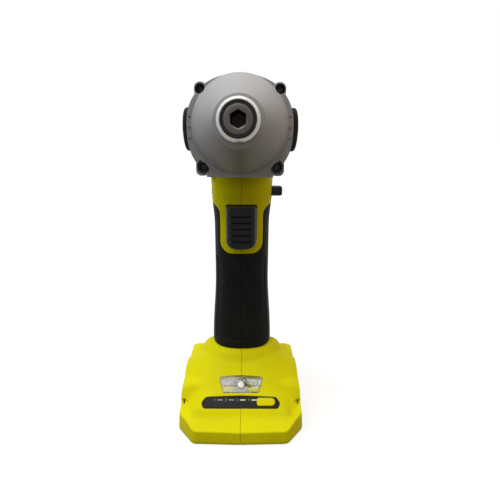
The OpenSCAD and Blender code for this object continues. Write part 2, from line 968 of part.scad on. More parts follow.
module panel_outline(grow)
  polygon([
    [-panel_w / 2 - grow, panel_l * panel_point],
    [-panel_w / 2 + panel_chamfer - grow, -grow],
    [panel_w / 2 - panel_chamfer + grow, -grow],
    [panel_w / 2 + grow, panel_l * panel_point],
    [panel_w / 2 - panel_lead + grow, panel_l - panel_crown + grow],
    [0, panel_l + grow],
    [-panel_w / 2 + panel_lead - grow, panel_l - panel_crown + grow]
  ]);

module lens_outline(grow)
  polygon([
    [-lens_low_w / 2 + lens_chamfer - grow, -grow],
    [lens_low_w / 2 - lens_chamfer + grow, -grow],
    [lens_low_w / 2 + grow, lens_chamfer],
    [lens_w / 2 + grow, lens_l - lens_top_edge],
    [lens_w / 2 - lens_chamfer / 2 + grow, lens_l - lens_crown + grow],
    [lens_point, lens_l + grow],
    [-lens_point, lens_l + grow],
    [-lens_w / 2 + lens_chamfer / 2 - grow, lens_l - lens_crown + grow],
    [-lens_w / 2 - grow, lens_l - lens_top_edge],
    [-lens_low_w / 2 - grow, lens_chamfer]
  ]);

module button_outline(grow)
  translate([button_x, panel_l * button_place])
    union() {
      square([button_w - button_l + 2 * grow, button_l + 2 * grow], center = true);
      for (end = [-1, 1])
        translate([end * (button_w - button_l) / 2, 0])
          circle(r = button_l / 2 + grow);
    }

module foot_windows() {
  on_slope(panel_from, -panel_t)
    linear_extrude(panel_t + past)
      panel_outline(rest_gap);
  on_slope(panel_from, -window_depth)
    linear_extrude(window_depth + past)
      button_outline(move_gap);
  on_slope(panel_from, -window_depth)
    linear_extrude(window_depth + past)
      bar_outline(move_gap);
  on_slope(lens_from, -lens_t)
    linear_extrude(lens_t + past)
      lens_outline(rest_gap);
}

module bar_outline(grow)
  for (i = [0 : bar_count - 1])
    translate([bar_x + i * bar_pitch, panel_l * bar_place])
      square([bar_w + 2 * grow, bar_l + 2 * grow], center = true);

module trigger_window()
  block(
    [-trigger_w / 2 - move_gap, -span, trigger_z - move_gap],
    [trigger_w / 2 + move_gap, switch_y - past, trigger_z + trigger_h + move_gap]
  );

module shuttle_window()
  block(
    [-span, shuttle_y - shuttle_w / 2 - move_gap, shuttle_z - shuttle_h / 2 - move_gap],
    [span, shuttle_y + shuttle_w / 2 + move_gap, shuttle_z + shuttle_h / 2 + move_gap]
  );

// Everything that is cut through the skin or the stiffeners
module clearances() {
  rod(housing_y - past, plate_end_y - housing_y + past, snug(barrel_r) + barrel_gap);
  rod(plate_end_y - past, can_length + bell_t + past, snug(can_r));
  rod(can_end_y, bell_end_y - can_end_y + bell_gap / 2, snug(bell_boss_r));
  translate([0, 0, -past])
    linear_extrude(socket_h + block_h + past)
      polygon(oval(socket_w / 2, socket_depth / 2, socket_depth / 2, socket_power));
  block(
    [-switch_w / 2 - seat_fit, switch_y - past, switch_z - rest_gap],
    [switch_w / 2 + seat_fit, switch_end_y + past, switch_top_z + lever_room]
  );
  trigger_window();
  shuttle_window();
  housing_screw_holes();
  case_screw_holes();
  vents();
  side_scoops();
  foot_windows();
  both_sides()
    bumper_form(-seat_fit);
}

module skin() {
  head_form(housing_y, 0);
  for (place = screw_places)
    on_axis(housing_y)
      translate([place[0], -place[1], 0])
        hull() {
          cylinder(h = screw_length + 2 * past, r = ear_r - rest_gap);
          translate([-place[0] / 4, place[1] / 4, screw_length + ear_tail])
            cylinder(h = slice_t, r = ear_tail_r);
        }
  difference() {
    handle_form(grip_t);
    block([-span, -span, -past], [span, span, rim_end_z - wall]);
  }
  intersection() {
    handle_form(0);
    bezel_zone();
  }
  for (i = [0 : len(neck_fillet) - 2])
    hull() {
      handle_slice(neck_fillet[i][0], fillet_in, neck_fillet[i][1]);
      handle_slice(neck_fillet[i + 1][0], fillet_in, neck_fillet[i + 1][1]);
    }
  foot_form(0);
}

module hollow() {
  head_form(plate_end_y, wall);
  intersection() {
    handle_form(grip_t + wall);
    block([-span, -span, rim_end_z - wall - past], [span, span, head_join_z - past]);
  }
  difference() {
    foot_form(wall);
    block([-span, -span, -past], [span, span, wall]);
  }
}

module housing(side)
  color(lime)
    half(side)
      difference() {
        skin();
        difference() {
          hollow();
          stiffeners();
        }
        clearances();
      }

module housing_left() housing(1);
module housing_right() housing(-1);

module grip(side)
  color(black_rubber)
    half(side)
      difference() {
        intersection() {
          handle_form(0);
          block([-span, -span, rim_end_z - past], [span, span, grip_top_z]);
        }
        handle_form(grip_t);
        bezel_zone();
        trigger_window();
        housing_screw_holes();
        foot_form(0);
      }

module grip_left() grip(1);
module grip_right() grip(-1);

module side_bumper(side)
  color(black_rubber)
    scale([side, 1, 1])
      bumper_form(0);

module side_bumper_left() side_bumper(1);
module side_bumper_right() side_bumper(-1);

// Nose

module hammer_case()
  color(case_grey)
    difference() {
      union() {
        on_axis(nose_y)
          cylinder(h = cone_length, r1 = cone_nose_d / 2, r2 = cone_base_d / 2);
        on_axis(flange_y)
          linear_extrude(flange_t)
            polygon(oval(flange_w / 2, flange_down, flange_up, flange_power, low_power));
        on_axis(flange_y)
          linear_extrude(flange_t)
            translate([0, flange_down - flange_foot_h / 2])
              square([flange_foot_w, flange_foot_h], center = true);
        for (place = screw_places)
          on_axis(flange_y + ear_back)
            translate([place[0], -place[1], 0])
              linear_extrude(flange_t - ear_back)
                soft_square(ear_w, ear_h, ear_round);
        rod(housing_y - past, plate_y - housing_y + past, barrel_r);
      }
      rod(nose_y - past, nose_lip + 2 * past, anvil_r + nose_gap);
      rod(bush_y, bush_length + past, bush_r);
      rod(bush_end_y, wing_y - bush_end_y, wing_r + wing_gap);
      on_axis(wing_y)
        cylinder(h = wing_t, r1 = wing_r + wing_gap, r2 = barrel_bore_r);
      rod(wing_end_y, plate_y - wing_end_y + past, barrel_bore_r);
      for (place = screw_places)
        on_axis(flange_y - cone_length)
          translate([place[0], -place[1], 0]) {
            cylinder(h = cone_length + screw_seat, r = screw_head_r + move_gap);
            cylinder(h = cone_length + flange_t + past, r = screw_r + rest_gap);
          }
      for (side = [-1, 1], z = dimple_places)
        on_axis(flange_y - past)
          translate([side * dimple_x, -z, 0])
            cylinder(h = past + dimple_depth, r = dimple_r);
    }

module case_screws()
  color(dark_steel)
    for (place = screw_places)
      on_axis(flange_y + screw_seat - screw_head_t)
        translate([place[0], -place[1], 0])
          difference() {
            union() {
              cylinder(h = screw_head_t, r = screw_head_r);
              translate([0, 0, screw_head_t])
                cylinder(h = flange_t - screw_seat + screw_length - past, r = screw_r);
            }
            translate([0, 0, -past])
              cylinder(h = past + screw_drive_t, r = screw_drive_r, $fn = 6);
          }

module housing_screws()
  color(dark_steel)
    for (place = housing_screw_places)
      translate([-place[2] - housing_head_t, place[0], place[1]])
        rotate([0, 90, 0])
          difference() {
            union() {
              cylinder(h = housing_head_t, r = housing_head_r);
              cylinder(h = housing_head_t + housing_screw_length, r = housing_screw_r);
            }
            translate([0, 0, -past])
              cylinder(h = past + screw_drive_t, r = screw_drive_r, $fn = 6);
          }

module anvil_bushing()
  color(bronze)
    tube(bush_y, bush_length, bush_r - seat_fit, anvil_r + run_fit);

module anvil_washer()
  color(steel)
    tube(bush_end_y, thrust_t, wing_r - wing_gap, anvil_r + rest_gap);

module anvil()
  color(steel)
    difference() {
      union() {
        on_axis(anvil_y) {
          cylinder(h = anvil_bevel, r1 = anvil_r - anvil_bevel, r2 = anvil_r);
          translate([0, 0, anvil_bevel])
            cylinder(h = shoulder_y - anvil_y - anvil_bevel, r = anvil_r);
        }
        rod(shoulder_y, wing_end_y - shoulder_y, hub_r);
        on_axis(wing_y)
          intersection() {
            cylinder(h = wing_t, r = wing_r);
            translate([-wing_r, -wing_w / 2, 0])
              cube([2 * wing_r, wing_w, wing_t]);
          }
      }
      on_axis(anvil_y - past)
        rotate([0, 0, 30])
          cylinder(h = hex_depth + past, r = hex_r, $fn = 6);
      on_axis(anvil_y - slice_t)
        cylinder(h = 1.6 * hex_bevel, r1 = hex_r + hex_bevel, r2 = hex_r - 0.6 * hex_bevel);
      on_axis(ball_y)
        for (side = [-1, 1])
          rotate([0, side * 90, 0])
            translate([0, 0, hex_bevel])
              cylinder(h = anvil_r, r = ball_r + run_fit);
      tube(collar_y + ring_place - play, ring_t + 2 * play, anvil_r + past, ring_groove_r);
      rod(wing_end_y - pilot_length - move_gap, pilot_length + past, pilot_r + run_fit);
    }

module collar()
  color(bright_steel)
    on_axis(collar_y)
      rotate_extrude()
        polygon([
          [collar_recess_r, 0],
          [collar_rim_r, 0],
          [collar_d / 2 - collar_edge / 2, collar_taper - collar_edge],
          [collar_d / 2, collar_taper],
          [collar_d / 2, collar_length - collar_edge],
          [collar_d / 2 - collar_edge, collar_length],
          [ramp_r + ramp_length / 3, collar_length],
          [ramp_r, collar_length - ramp_length],
          [land_r, collar_length - ramp_length - play * 3],
          [land_r, land_front],
          [collar_recess_r, land_front]
        ]);

module collar_spring()
  color(steel)
    on_axis(collar_spring_y())
      coil(collar_spring_r, collar_wire_r, collar_spring_length(), collar_turns);

module collar_washer()
  color(dark_steel)
    tube(collar_y + washer_place, collar_washer_t, collar_recess_r - run_fit * 2, anvil_r + seat_fit);

module snap_ring()
  color(dark_steel)
    tube(collar_y + ring_place, ring_t, ring_out_r, ring_groove_r + seat_fit);

module detent_ball(side)
  color(bright_steel)
    translate([side * ball_place_r, ball_y, axis_height])
      sphere(r = ball_r);

module detent_ball_left() detent_ball(1);
module detent_ball_right() detent_ball(-1);

// Impact mechanism

module hammer()
  color(dark_steel)
    difference() {
      union() {
        rod(hammer_y, hammer_length, hammer_r);
        on_axis(hammer_y - wing_t)
          for (turn = [0, 180])
            rotate([0, 0, turn + dog_start])
              rotate_extrude(angle = dog_w)
                translate([hub_r + move_gap, 0])
                  square([wing_r - hub_r - move_gap, wing_t + past]);
      }
      rod(hammer_y - past, hammer_length + 2 * past, spindle_r + run_fit);
      tube(hammer_end_y - recess_depth, recess_depth + past, recess_out_r, recess_in_r);
      for (side = [-1, 1])
        translate([0, 0, side * spindle_r]) {
          rod(hammer_y - past, cam_ball_y - hammer_y + past, cam_ball_r + play);
          on_axis(cam_ball_y)
            sphere(r = cam_ball_r + play);
        }
    }

module hammer_spring()
  color(dark_steel)
    on_axis(hammer_spring_y())
      coil(spring_mid_r, spring_wire_r, hammer_spring_length(), spring_turns);

module spring_washer()
  color(steel)
    tube(
      hammer_spring_y() - washer_t - play, washer_t,
      recess_out_r - rest_gap, recess_in_r + rest_gap
    );

module thrust_balls()
  color(bright_steel)
    on_axis(hammer_end_y - recess_depth + thrust_ball_r + play)
      for (i = [0 : thrust_ball_count - 1])
        rotate([0, 0, 360 * i / thrust_ball_count])
          translate([spring_mid_r, 0, 0])
            sphere(r = thrust_ball_r);

module cam_balls()
  color(bright_steel)
    for (side = [-1, 1])
      translate([0, cam_ball_y, axis_height + side * spindle_r])
        sphere(r = cam_ball_r);

module spindle()
  color(steel)
    difference() {
      union() {
        rod(spindle_y - pilot_length, pilot_length + past, pilot_r);
        rod(spindle_y, carrier_y - spindle_y + past, spindle_r);
        rod(carrier_y, carrier_front_t, carrier_r);
        rod(carrier_rear_y, carrier_rear_t, carrier_r);
        rod(carrier_rear_y, bearing_y + bearing_t - carrier_rear_y, hub_out_r);
        on_axis(carrier_y)
          intersection() {
            cylinder(h = carrier_rear_y + carrier_rear_t - carrier_y, r = carrier_r);
            for (side = [-1, 1])
              translate([-web_w / 2, side > 0 ? web_in : -web_in - carrier_r, 0])
                cube([web_w, carrier_r, span]);
          }
      }
      rod(planet_y - shaft_room, span, sun_bore_r);
      on_axis(carrier_y + pin_seat)
        for (side = [-1, 1])
          translate([side * orbit_r, 0, 0])
            cylinder(h = span, r = pin_r + seat_fit);
      for (side = [-1, 1])
        translate([0, cam_ball_y, axis_height + side * spindle_r])
          sphere(r = cam_ball_r + run_fit);
    }

// Gears

module planet_gear(side, turn)
  color(steel)
    on_axis(planet_y)
      translate([side * orbit_r, 0, 0])
        difference() {
          rotate([0, 0, turn])
            linear_extrude(gear_w)
              polygon(gear_outline(
                planet_teeth,
                planet_r + gear_module * addendum,
                planet_r - gear_module * dedendum,
                PI * gear_module / 2 - backlash
              ));
          translate([0, 0, -past])
            cylinder(h = gear_w + 2 * past, r = pin_r + run_fit);
        }

module planet_gear_1() planet_gear(1, 180 / planet_teeth);
module planet_gear_2() planet_gear(-1, 0);

module planet_pins()
  color(bright_steel)
    on_axis(carrier_y + pin_seat)
      for (side = [-1, 1])
        translate([side * orbit_r, 0, 0])
          cylinder(h = carrier_rear_y + carrier_rear_t - carrier_y - pin_seat - rest_gap, r = pin_r);

module ring_gear()
  color(dark_steel)
    on_axis(ring_y)
      difference() {
        cylinder(h = ring_w, r = barrel_bore_r - seat_fit);
        translate([0, 0, -past])
          rotate([0, 0, 180 / ring_teeth])
            linear_extrude(ring_w + 2 * past)
              polygon(gear_outline(
                ring_teeth,
                ring_r + gear_module * dedendum,
                ring_r - gear_module * addendum,
                PI * gear_module / 2 + backlash
              ));
      }

module gearbox_plate()
  color(black_plastic)
    difference() {
      rod(plate_y, plate_end_y - plate_y, barrel_r);
      rod(plate_y - past, plate_recess + past, carrier_r + plate_gap);
      rod(bearing_y - past, bearing_t + past, bearing_r + seat_fit);
      rod(bearing_y, bearing_t + plate_recess, hub_out_r + plate_gap);
    }

// Ball bearing drawn as one ring with a shield groove in each face
module bearing(y, length, r_out, r_in)
  difference() {
    tube(y, length, r_out, r_in);
    for (end = [0, 1])
      tube(
        end == 0 ? y - past : y + length - shield_depth,
        shield_depth + past,
        mix(r_in, r_out, shield_out),
        mix(r_in, r_out, shield_in)
      );
  }

module spindle_bearing()
  color(bright_steel)
    bearing(bearing_y, bearing_t, bearing_r, hub_out_r + run_fit);

// Motor

module motor_can()
  color(steel)
    difference() {
      union() {
        tube(can_y, can_length, can_r, can_bore_r);
        rod(can_y, can_floor, can_r);
        rod(can_y, rotor_bearing_t, rotor_bearing_r + boss_wall);
      }
      rod(can_y - past, rotor_bearing_t + 2 * past, rotor_bearing_r + seat_fit);
    }

module motor_magnets()
  color(carbon)
    on_axis(core_y - magnet_overhang)
      for (turn = [0, 180])
        rotate([0, 0, turn + 90 - magnet_arc / 2])
          rotate_extrude(angle = magnet_arc)
            translate([magnet_in_r, 0])
              square([can_bore_r - seat_fit - magnet_in_r, core_length + 2 * magnet_overhang]);

module armature_core()
  color(dark_steel)
    on_axis(core_y)
      linear_extrude(core_length)
        difference() {
          circle(r = core_r);
          circle(r = shaft_r + seat_fit);
          for (i = [0 : slot_count - 1])
            rotate(360 * i / slot_count)
              translate([slot_mid_r, 0])
                union() {
                  circle(r = slot_r);
                  translate([0, -slot_mouth / 2])
                    square([core_r, slot_mouth]);
                }
        }

module armature_windings()
  color(copper)
    union() {
      on_axis(core_y - turn_t / 2)
        for (i = [0 : slot_count - 1])
          rotate([0, 0, 360 * i / slot_count])
            translate([slot_mid_r, 0, 0])
              cylinder(h = core_length + turn_t, r = slot_r - rest_gap);
      for (y = [core_y - turn_t - seat_fit, core_y + core_length + seat_fit])
        tube(y, turn_t, slot_mid_r + slot_r, slot_mid_r - slot_r);
    }

module commutator()
  color(copper)
    difference() {
      tube(commutator_y, commutator_length, commutator_r, shaft_r + seat_fit);
      on_axis(commutator_y - past)
        for (i = [0 : slot_count - 1])
          rotate([0, 0, 360 * (i + 0.5) / slot_count])
            translate([commutator_r - segment_depth, -segment_gap / 2, 0])
              cube([commutator_r, segment_gap, commutator_length + 2 * past]);
    }

module rotor_shaft()
  color(bright_steel)
    rod(planet_y - ring_over, bell_end_y - planet_y, shaft_r);

module motor_pinion()
  color(steel)
    on_axis(planet_y)
      difference() {
        linear_extrude(gear_w + pinion_hub)
          polygon(gear_outline(
            sun_teeth,
            sun_r + gear_module * addendum,
            sun_r - gear_module * dedendum,
            PI * gear_module / 2 - backlash
          ));
        translate([0, 0, -past])
          cylinder(h = gear_w + pinion_hub + 2 * past, r = shaft_r + seat_fit);
      }

module fan()
  color(black_plastic)
    on_axis(fan_y)
      difference() {
        union() {
          cylinder(h = fan_floor, r = fan_r);
          cylinder(h = fan_t, r = fan_hub_r);
          for (i = [0 : fan_blades - 1])
            rotate([0, 0, 360 * i / fan_blades])
              translate([fan_hub_r + fan_floor, -fan_floor / 2, 0])
                cube([fan_r - fan_hub_r - 1.5 * fan_floor, fan_floor, fan_t]);
        }
        translate([0, 0, -past])
          cylinder(h = fan_t + 2 * past, r = shaft_r + seat_fit);
      }

module rotor_bearings()
  color(bright_steel) {
    bearing(can_y, rotor_bearing_t, rotor_bearing_r, shaft_r + run_fit);
    bearing(can_end_y + bell_floor, rotor_bearing_t, rotor_bearing_r, shaft_r + run_fit);
  }

module end_bell()
  color(black_plastic)
    difference() {
      union() {
        rod(can_end_y, bell_t, can_r);
        rod(can_end_y, bell_t + bell_boss, bell_boss_r);
        for (side = [-1, 1])
          scale([side, 1, 1])
            translate([0, 0, axis_height])
              block(
                [commutator_r + brush_box_gap, brush_y - brush_box_wall, -brush_w / 2 - brush_box_wall],
                [brush_box_end, can_end_y + past, brush_w / 2 + brush_box_wall]
              );
      }
      rod(can_end_y - past, span, shaft_r + move_gap);
      rod(can_end_y + bell_floor, span, rotor_bearing_r + seat_fit);
      translate([0, 0, axis_height])
        block(
          [brush_box_wall - brush_box_end, brush_y - run_fit, -brush_w / 2 - run_fit],
          [brush_box_end - brush_box_wall, brush_y + brush_t + run_fit, brush_w / 2 + run_fit]
        );
    }

module brushes()
  color(carbon)
    for (side = [-1, 1])
      translate([side * (commutator_r + play + brush_length / 2), brush_y + brush_t / 2, axis_height])
        cube([brush_length, brush_t, brush_w], center = true);

module brush_springs()
  color(bronze)
    for (side = [-1, 1])
      translate([side * (commutator_r + 2 * play + brush_length), brush_y + brush_t / 2, axis_height])
        rotate([0, side * 90, 0])
          coil(brush_spring_r, brush_wire_r, brush_spring_length(), brush_turns);

// Trigger, switch and direction shuttle

module trigger()
  color(black_plastic)
    difference() {
      translate([-trigger_w / 2, 0, 0])
        rotate([90, 0, 90])
          linear_extrude(trigger_w)
            polygon(concat(
              [[trigger_back_y, trigger_z], [trigger_back_y, trigger_z + trigger_h]],
              [for (i = [0 : trigger_steps])
                let (share = i / trigger_steps, bow = 1 - pow(2 * share - 0.9, 2))
                  [trigger_y + trigger_bow * (bow - 0.5), trigger_z + trigger_h * (1 - share)]]
            ));
      block(
        [-trigger_w / 2 + wall, trigger_floor_y, trigger_z + wall],
        [trigger_w / 2 - wall, trigger_back_y + past, trigger_z + trigger_h - wall]
      );
    }

module trigger_spring()
  color(steel)
    translate([0, trigger_floor_y + play, trigger_mid_z])
      rotate([-90, 0, 0])
        coil(trigger_spring_r, trigger_wire_r, switch_y - trigger_floor_y - 2 * play, trigger_turns);

module switch_plunger()
  color(black_plastic)
    translate([0, trigger_floor_y, trigger_mid_z])
      rotate([-90, 0, 0])
        cylinder(h = switch_y + plunger_engaged - trigger_floor_y, r = plunger_r);

module switch_body()
  color(black_plastic)
    difference() {
      union() {
        block([-switch_w / 2, switch_y, switch_z], [switch_w / 2, switch_end_y, switch_top_z]);
        translate([0, lever_y, switch_top_z - past])
          cylinder(h = past + lever_gap + lever_t + lever_gap, r = lever_pin_r);
      }
      translate([0, switch_y - past, trigger_mid_z])
        rotate([-90, 0, 0])
          cylinder(h = 2 * past + plunger_engaged + trigger_travel, r = plunger_r + run_fit);
    }

module reversing_lever()
  color(steel)
    translate([0, lever_y, switch_top_z + lever_gap])
      rotate([0, 0, lever_tilt])
        difference() {
          union() {
            cylinder(h = lever_t, r = lever_hub_r);
            translate([-lever_arm_w / 2, -lever_arm, 0])
              cube([lever_arm_w, lever_arm, lever_t]);
            translate([0, -lever_arm, 0])
              cylinder(h = shuttle_z - switch_top_z + past, r = lever_arm_w / 2);
          }
          translate([0, 0, -past])
            cylinder(h = lever_t + 2 * past, r = lever_pin_r + run_fit);
        }

module direction_shuttle()
  color(black_plastic)
    translate([shuttle_travel / 2, shuttle_y, shuttle_z])
      difference() {
        intersection() {
          cube([shuttle_length, shuttle_w, shuttle_h], center = true);
          rotate([0, 90, 0])
            cylinder(h = shuttle_length, r = shuttle_w / 2 + shuttle_round, center = true);
        }
        block(
          [-lever_arm_w / 2 - lever_slot_gap, -lever_arm_w / 2 - lever_slot_over, -shuttle_h],
          [lever_arm_w / 2 + lever_slot_gap, lever_arm_w / 2 + lever_slot_over, 2 * past]
        );
      }

module heat_sink()
  color(steel)
    difference() {
      block(
        [-sink_w / 2, switch_end_y, switch_z + sink_margin],
        [sink_w / 2, switch_end_y + sink_t, switch_top_z - 2 * sink_margin]
      );
      for (z = [switch_z + 2 * sink_margin : sink_margin : switch_top_z - 3 * sink_margin])
        block([-sink_w, switch_end_y + sink_floor, z], [sink_w, switch_end_y + 2 * sink_t, z + sink_slot]);
    }

// Power path

module terminal_block()
  color(black_plastic)
    difference() {
      translate([0, 0, socket_h])
        linear_extrude(block_h)
          polygon(oval(
            socket_w / 2 - seat_fit * 2, socket_depth / 2 - seat_fit * 2,
            socket_depth / 2 - seat_fit * 2, socket_power
          ));
      for (x = blade_places)
        block(
          [x - blade_t / 2 - seat_fit, -blade_w / 2 - seat_fit, socket_h - past],
          [x + blade_t / 2 + seat_fit, blade_w / 2 + seat_fit, socket_h + block_h + past]
        );
    }

module contact_blades()
  color(copper)
    for (x = blade_places)
      block(
        [x - blade_t / 2, -blade_w / 2, socket_h - blade_h],
        [x + blade_t / 2, blade_w / 2, blade_end_z]
      );

module battery_leads() {
  for (side = [-1, 1])
    color(side > 0 ? lead_red : carbon)
      swept(
        [
          [side * lead_x, 0, blade_end_z + rest_gap],
          [side * lead_x, 0, blade_end_z + lead_y],
          [side * lead_x, lead_bend, blade_end_z + 2 * lead_y],
          [side * lead_x, lead_bend, switch_z - lead_bend],
          [side * lead_x, lead_bend, switch_z - rest_gap]
        ],
        battery_lead_r, lead_sides, [1, 0, 0]
      );
}

module motor_leads() {
  for (side = [-1, 1])
    color(side > 0 ? lead_red : carbon)
      swept(
        [
          [side * lead_x, lead_y, switch_top_z + rest_gap],
          [side * lead_x, lead_y, switch_top_z + lead_bend],
          [side * lead_x, lead_y, switch_top_z + 3 * lead_bend],
          [side * lead_x, lead_bend, axis_height - can_r - lead_bend],
          [side * lead_x, 2 * lead_bend, axis_height - can_r - 2.4 * motor_lead_r],
          [side * lead_x, can_end_y - lead_bend, axis_height - can_r - 1.4 * motor_lead_r],
          [side * (lead_x + 1), can_end_y + bell_t + motor_lead_r, axis_height - can_r],
          [side * lead_top_x, can_end_y + bell_t + 2 * motor_lead_r, axis_height - can_r + lead_bend],
          [side * lead_top_x, can_end_y + bell_t + 2 * motor_lead_r, axis_height - 2 * lead_bend]
        ],
        motor_lead_r, lead_sides, [1, 0, 0]
      );
}

// Foot fittings

module light_lens()
  color(clear)
    on_slope(lens_from, -lens_t)
      linear_extrude(lens_t)
        lens_outline(0);

module light_emitter()
  color(clear)
    on_slope(emitter_from, -board_drop + rest_gap)
      cylinder(h = board_drop - lens_t - 2 * rest_gap, r = emitter_r);

module gauge_panel()
  color(black_plastic)
    difference() {
      on_slope(panel_from, -panel_t)
        linear_extrude(panel_t)
          panel_outline(0);
      on_slope(panel_from, -past - panel_t)
        linear_extrude(panel_t + 2 * past)
          button_outline(move_gap);
      on_slope(panel_from, -past - panel_t)
        linear_extrude(panel_t + 2 * past)
          bar_outline(run_fit);
    }

module gauge_bars()
  color(clear)
    on_slope(panel_from, -board_drop + rest_gap)
      linear_extrude(board_drop - rest_gap)
        bar_outline(0);

module mode_button()
  color(lime)
    on_slope(panel_from, button_proud - button_t)
      linear_extrude(button_t)
        button_outline(0);

module circuit_board()
  color(board_green)
    on_slope(panel_from + board_margin, -board_drop - board_t)
      translate([-board_w / 2, 0, 0])
        cube([board_w, lens_from + lens_l - panel_from - 3 * board_margin, board_t]);

housing_left();
housing_right();
grip_left();
grip_right();
side_bumper_left();
side_bumper_right();
hammer_case();
case_screws();
housing_screws();
anvil_bushing();
anvil_washer();
anvil();
collar();
collar_spring();
collar_washer();
snap_ring();
detent_ball_left();
detent_ball_right();
hammer();
hammer_spring();
spring_washer();
thrust_balls();
cam_balls();
spindle();
planet_gear_1();
planet_gear_2();
planet_pins();
ring_gear();
gearbox_plate();
spindle_bearing();
motor_can();
motor_magnets();
armature_core();
armature_windings();
commutator();
rotor_shaft();
motor_pinion();
fan();
rotor_bearings();
end_bell();
brushes();
brush_springs();
trigger();
trigger_spring();
switch_plunger();
switch_body();
reversing_lever();
direction_shuttle();
heat_sink();
terminal_block();
contact_blades();
battery_leads();
motor_leads();
light_lens();
light_emitter();
gauge_panel();
gauge_bars();
mode_button();
circuit_board();
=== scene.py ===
"""Looks of a cordless impact driver: its pieces, finishes and studio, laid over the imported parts."""

import json
import math

import bmesh
import bpy
from bpy.props import FloatProperty, FloatVectorProperty, IntProperty, PointerProperty
from mathutils import Matrix, Vector


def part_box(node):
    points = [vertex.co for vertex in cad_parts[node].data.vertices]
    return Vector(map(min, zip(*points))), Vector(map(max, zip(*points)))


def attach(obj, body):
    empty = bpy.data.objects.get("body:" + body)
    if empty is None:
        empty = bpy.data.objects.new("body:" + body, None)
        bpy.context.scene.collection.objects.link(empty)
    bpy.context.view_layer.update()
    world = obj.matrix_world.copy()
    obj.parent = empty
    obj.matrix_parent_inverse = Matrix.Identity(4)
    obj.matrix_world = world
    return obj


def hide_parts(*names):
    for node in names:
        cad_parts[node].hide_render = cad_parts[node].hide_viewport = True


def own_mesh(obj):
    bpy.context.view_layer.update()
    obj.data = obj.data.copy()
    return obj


bl_info = {
    "name": "Cordless impact driver",
    "version": (1, 0, 0),
    "blender": (4, 5, 0),
    "location": "View3D > Sidebar > Driver",
    "description": "Models and finishes the pieces of a cordless impact driver",
    "category": "Object",
}

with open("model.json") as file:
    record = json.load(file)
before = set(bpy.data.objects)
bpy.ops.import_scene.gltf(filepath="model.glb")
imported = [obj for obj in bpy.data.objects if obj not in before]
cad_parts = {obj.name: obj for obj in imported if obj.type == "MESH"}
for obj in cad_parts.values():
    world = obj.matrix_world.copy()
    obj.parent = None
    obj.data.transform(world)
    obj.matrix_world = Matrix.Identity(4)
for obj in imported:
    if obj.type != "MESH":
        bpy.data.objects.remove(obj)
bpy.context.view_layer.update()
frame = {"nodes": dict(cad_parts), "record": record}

# Places and sizes below are millimetres in the part's own frame, and pieces are made in metres
MM = 0.001


def node_box(node):
    """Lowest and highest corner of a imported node, in millimetres."""
    low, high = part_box(node)
    return Vector(low) / MM, Vector(high) / MM


CASE_LOW, CASE_HIGH = node_box("hammer_case")
COLLAR_LOW, COLLAR_HIGH = node_box("collar")
ANVIL_LOW, ANVIL_HIGH = node_box("anvil")
TRIGGER_LOW, TRIGGER_HIGH = node_box("trigger")
SHUTTLE_LOW, SHUTTLE_HIGH = node_box("direction_shuttle")
BUMPER_LOW, BUMPER_HIGH = node_box("side_bumper_left")
HOUSING_LOW, HOUSING_HIGH = node_box("housing_left")
AXIS = (COLLAR_LOW.z + COLLAR_HIGH.z) / 2

# Springs: node, moving body, wire radius, turns, travel, end that rests on the moving body
SPRINGS = [("hammer_spring", "hammer", 1.2, 4, 7.0, "front"), ("collar_spring", "collar", 0.35, 2.5, 3.0, "back"),
           ("trigger_spring", "trigger", 0.45, 7, 6.5, "front")]

# Hammer case
FLANGE_Y = -73.0
FLANGE_BACK = -63.0
FLANGE_HALF_W, FLANGE_UP, FLANGE_DOWN = 26.6, 23.7, 25.8
CONE_NOSE_R, CONE_BASE_R = 12.2, 24.25
SCREW_PLACES = [(-19.8, 17.0), (19.8, 17.0), (-19.2, -21.0), (19.2, -21.0)]
EAR_FRONT = -71.5
UPPER_EAR, UPPER_ROUND = (16.4, 22.6, 12.8, 20.1), 2.9
LOWER_EAR, LOWER_ROUND = (15.8, 22.6, -25.2, -16.8), 2.6
FLANGE_FOOT_HALF_W, FLANGE_FOOT_H = 17.0, 4.0
LOW_POCKET = [(20.4, -16.9), (22.0, -19.4), (22.0, -22.2), (20.5, -24.0), (18.4, -24.5), (16.0, -23.3), (15.5, -21.2)]
SCREW_HEAD_R, SCREW_SEAT = 2.2, 7.0
DIMPLE_X, DIMPLE_R = 25.0, 0.6
DIMPLE_HEIGHTS = [11.0, 3.6, -1.6, -6.8]
BARREL_R, BARREL_BORE_R = 22.6, 20.6

# Bit holder
COLLAR_RECESS_R, LAND_R, LAND_FROM = 7.5, 5.98, 8.5
RAMP_FOOT_R, RAMP_TOP_R, RAMP_L = 6.05, 7.38, 4
ANVIL_R, RING_GROOVE_R, RING_GROOVE = 5.9, 5.2, (1.5, 2.4)
HUB_R, HUB_Y, WING_Y, WING_HALF_W = 9.0, -81.5, -78.3, 5
HEX_ACROSS, HEX_DEPTH = 6.45, 22
BALL_HOLE_R = 1.55

# Head of the housing
HEAD_HALF_W, HEAD_UP, HEAD_DOWN = 27.5, 25.3, 26.0
HEAD_END = HOUSING_HIGH.y
HEAD_POWER, HEAD_LOW_POWER = 2.2, 2.8
WALL = 2.4
VENT_COUNT, VENT_FROM, VENT_PITCH, VENT_HALF_W, VENT_LOW, VENT_HIGH = 6, -6.8, 5.0, 1.1, -10.5, 6.5
# Bosses behind the case screws: y, radius, share of the screw's distance from the drive axis
BOSS_STATIONS = ((FLANGE_BACK + 0.05, 3.2, 1.0), (-49.0, 3.2, 1.0), (-47.8, 3.0, 0.99), (-37.0, 1.6, 0.75))

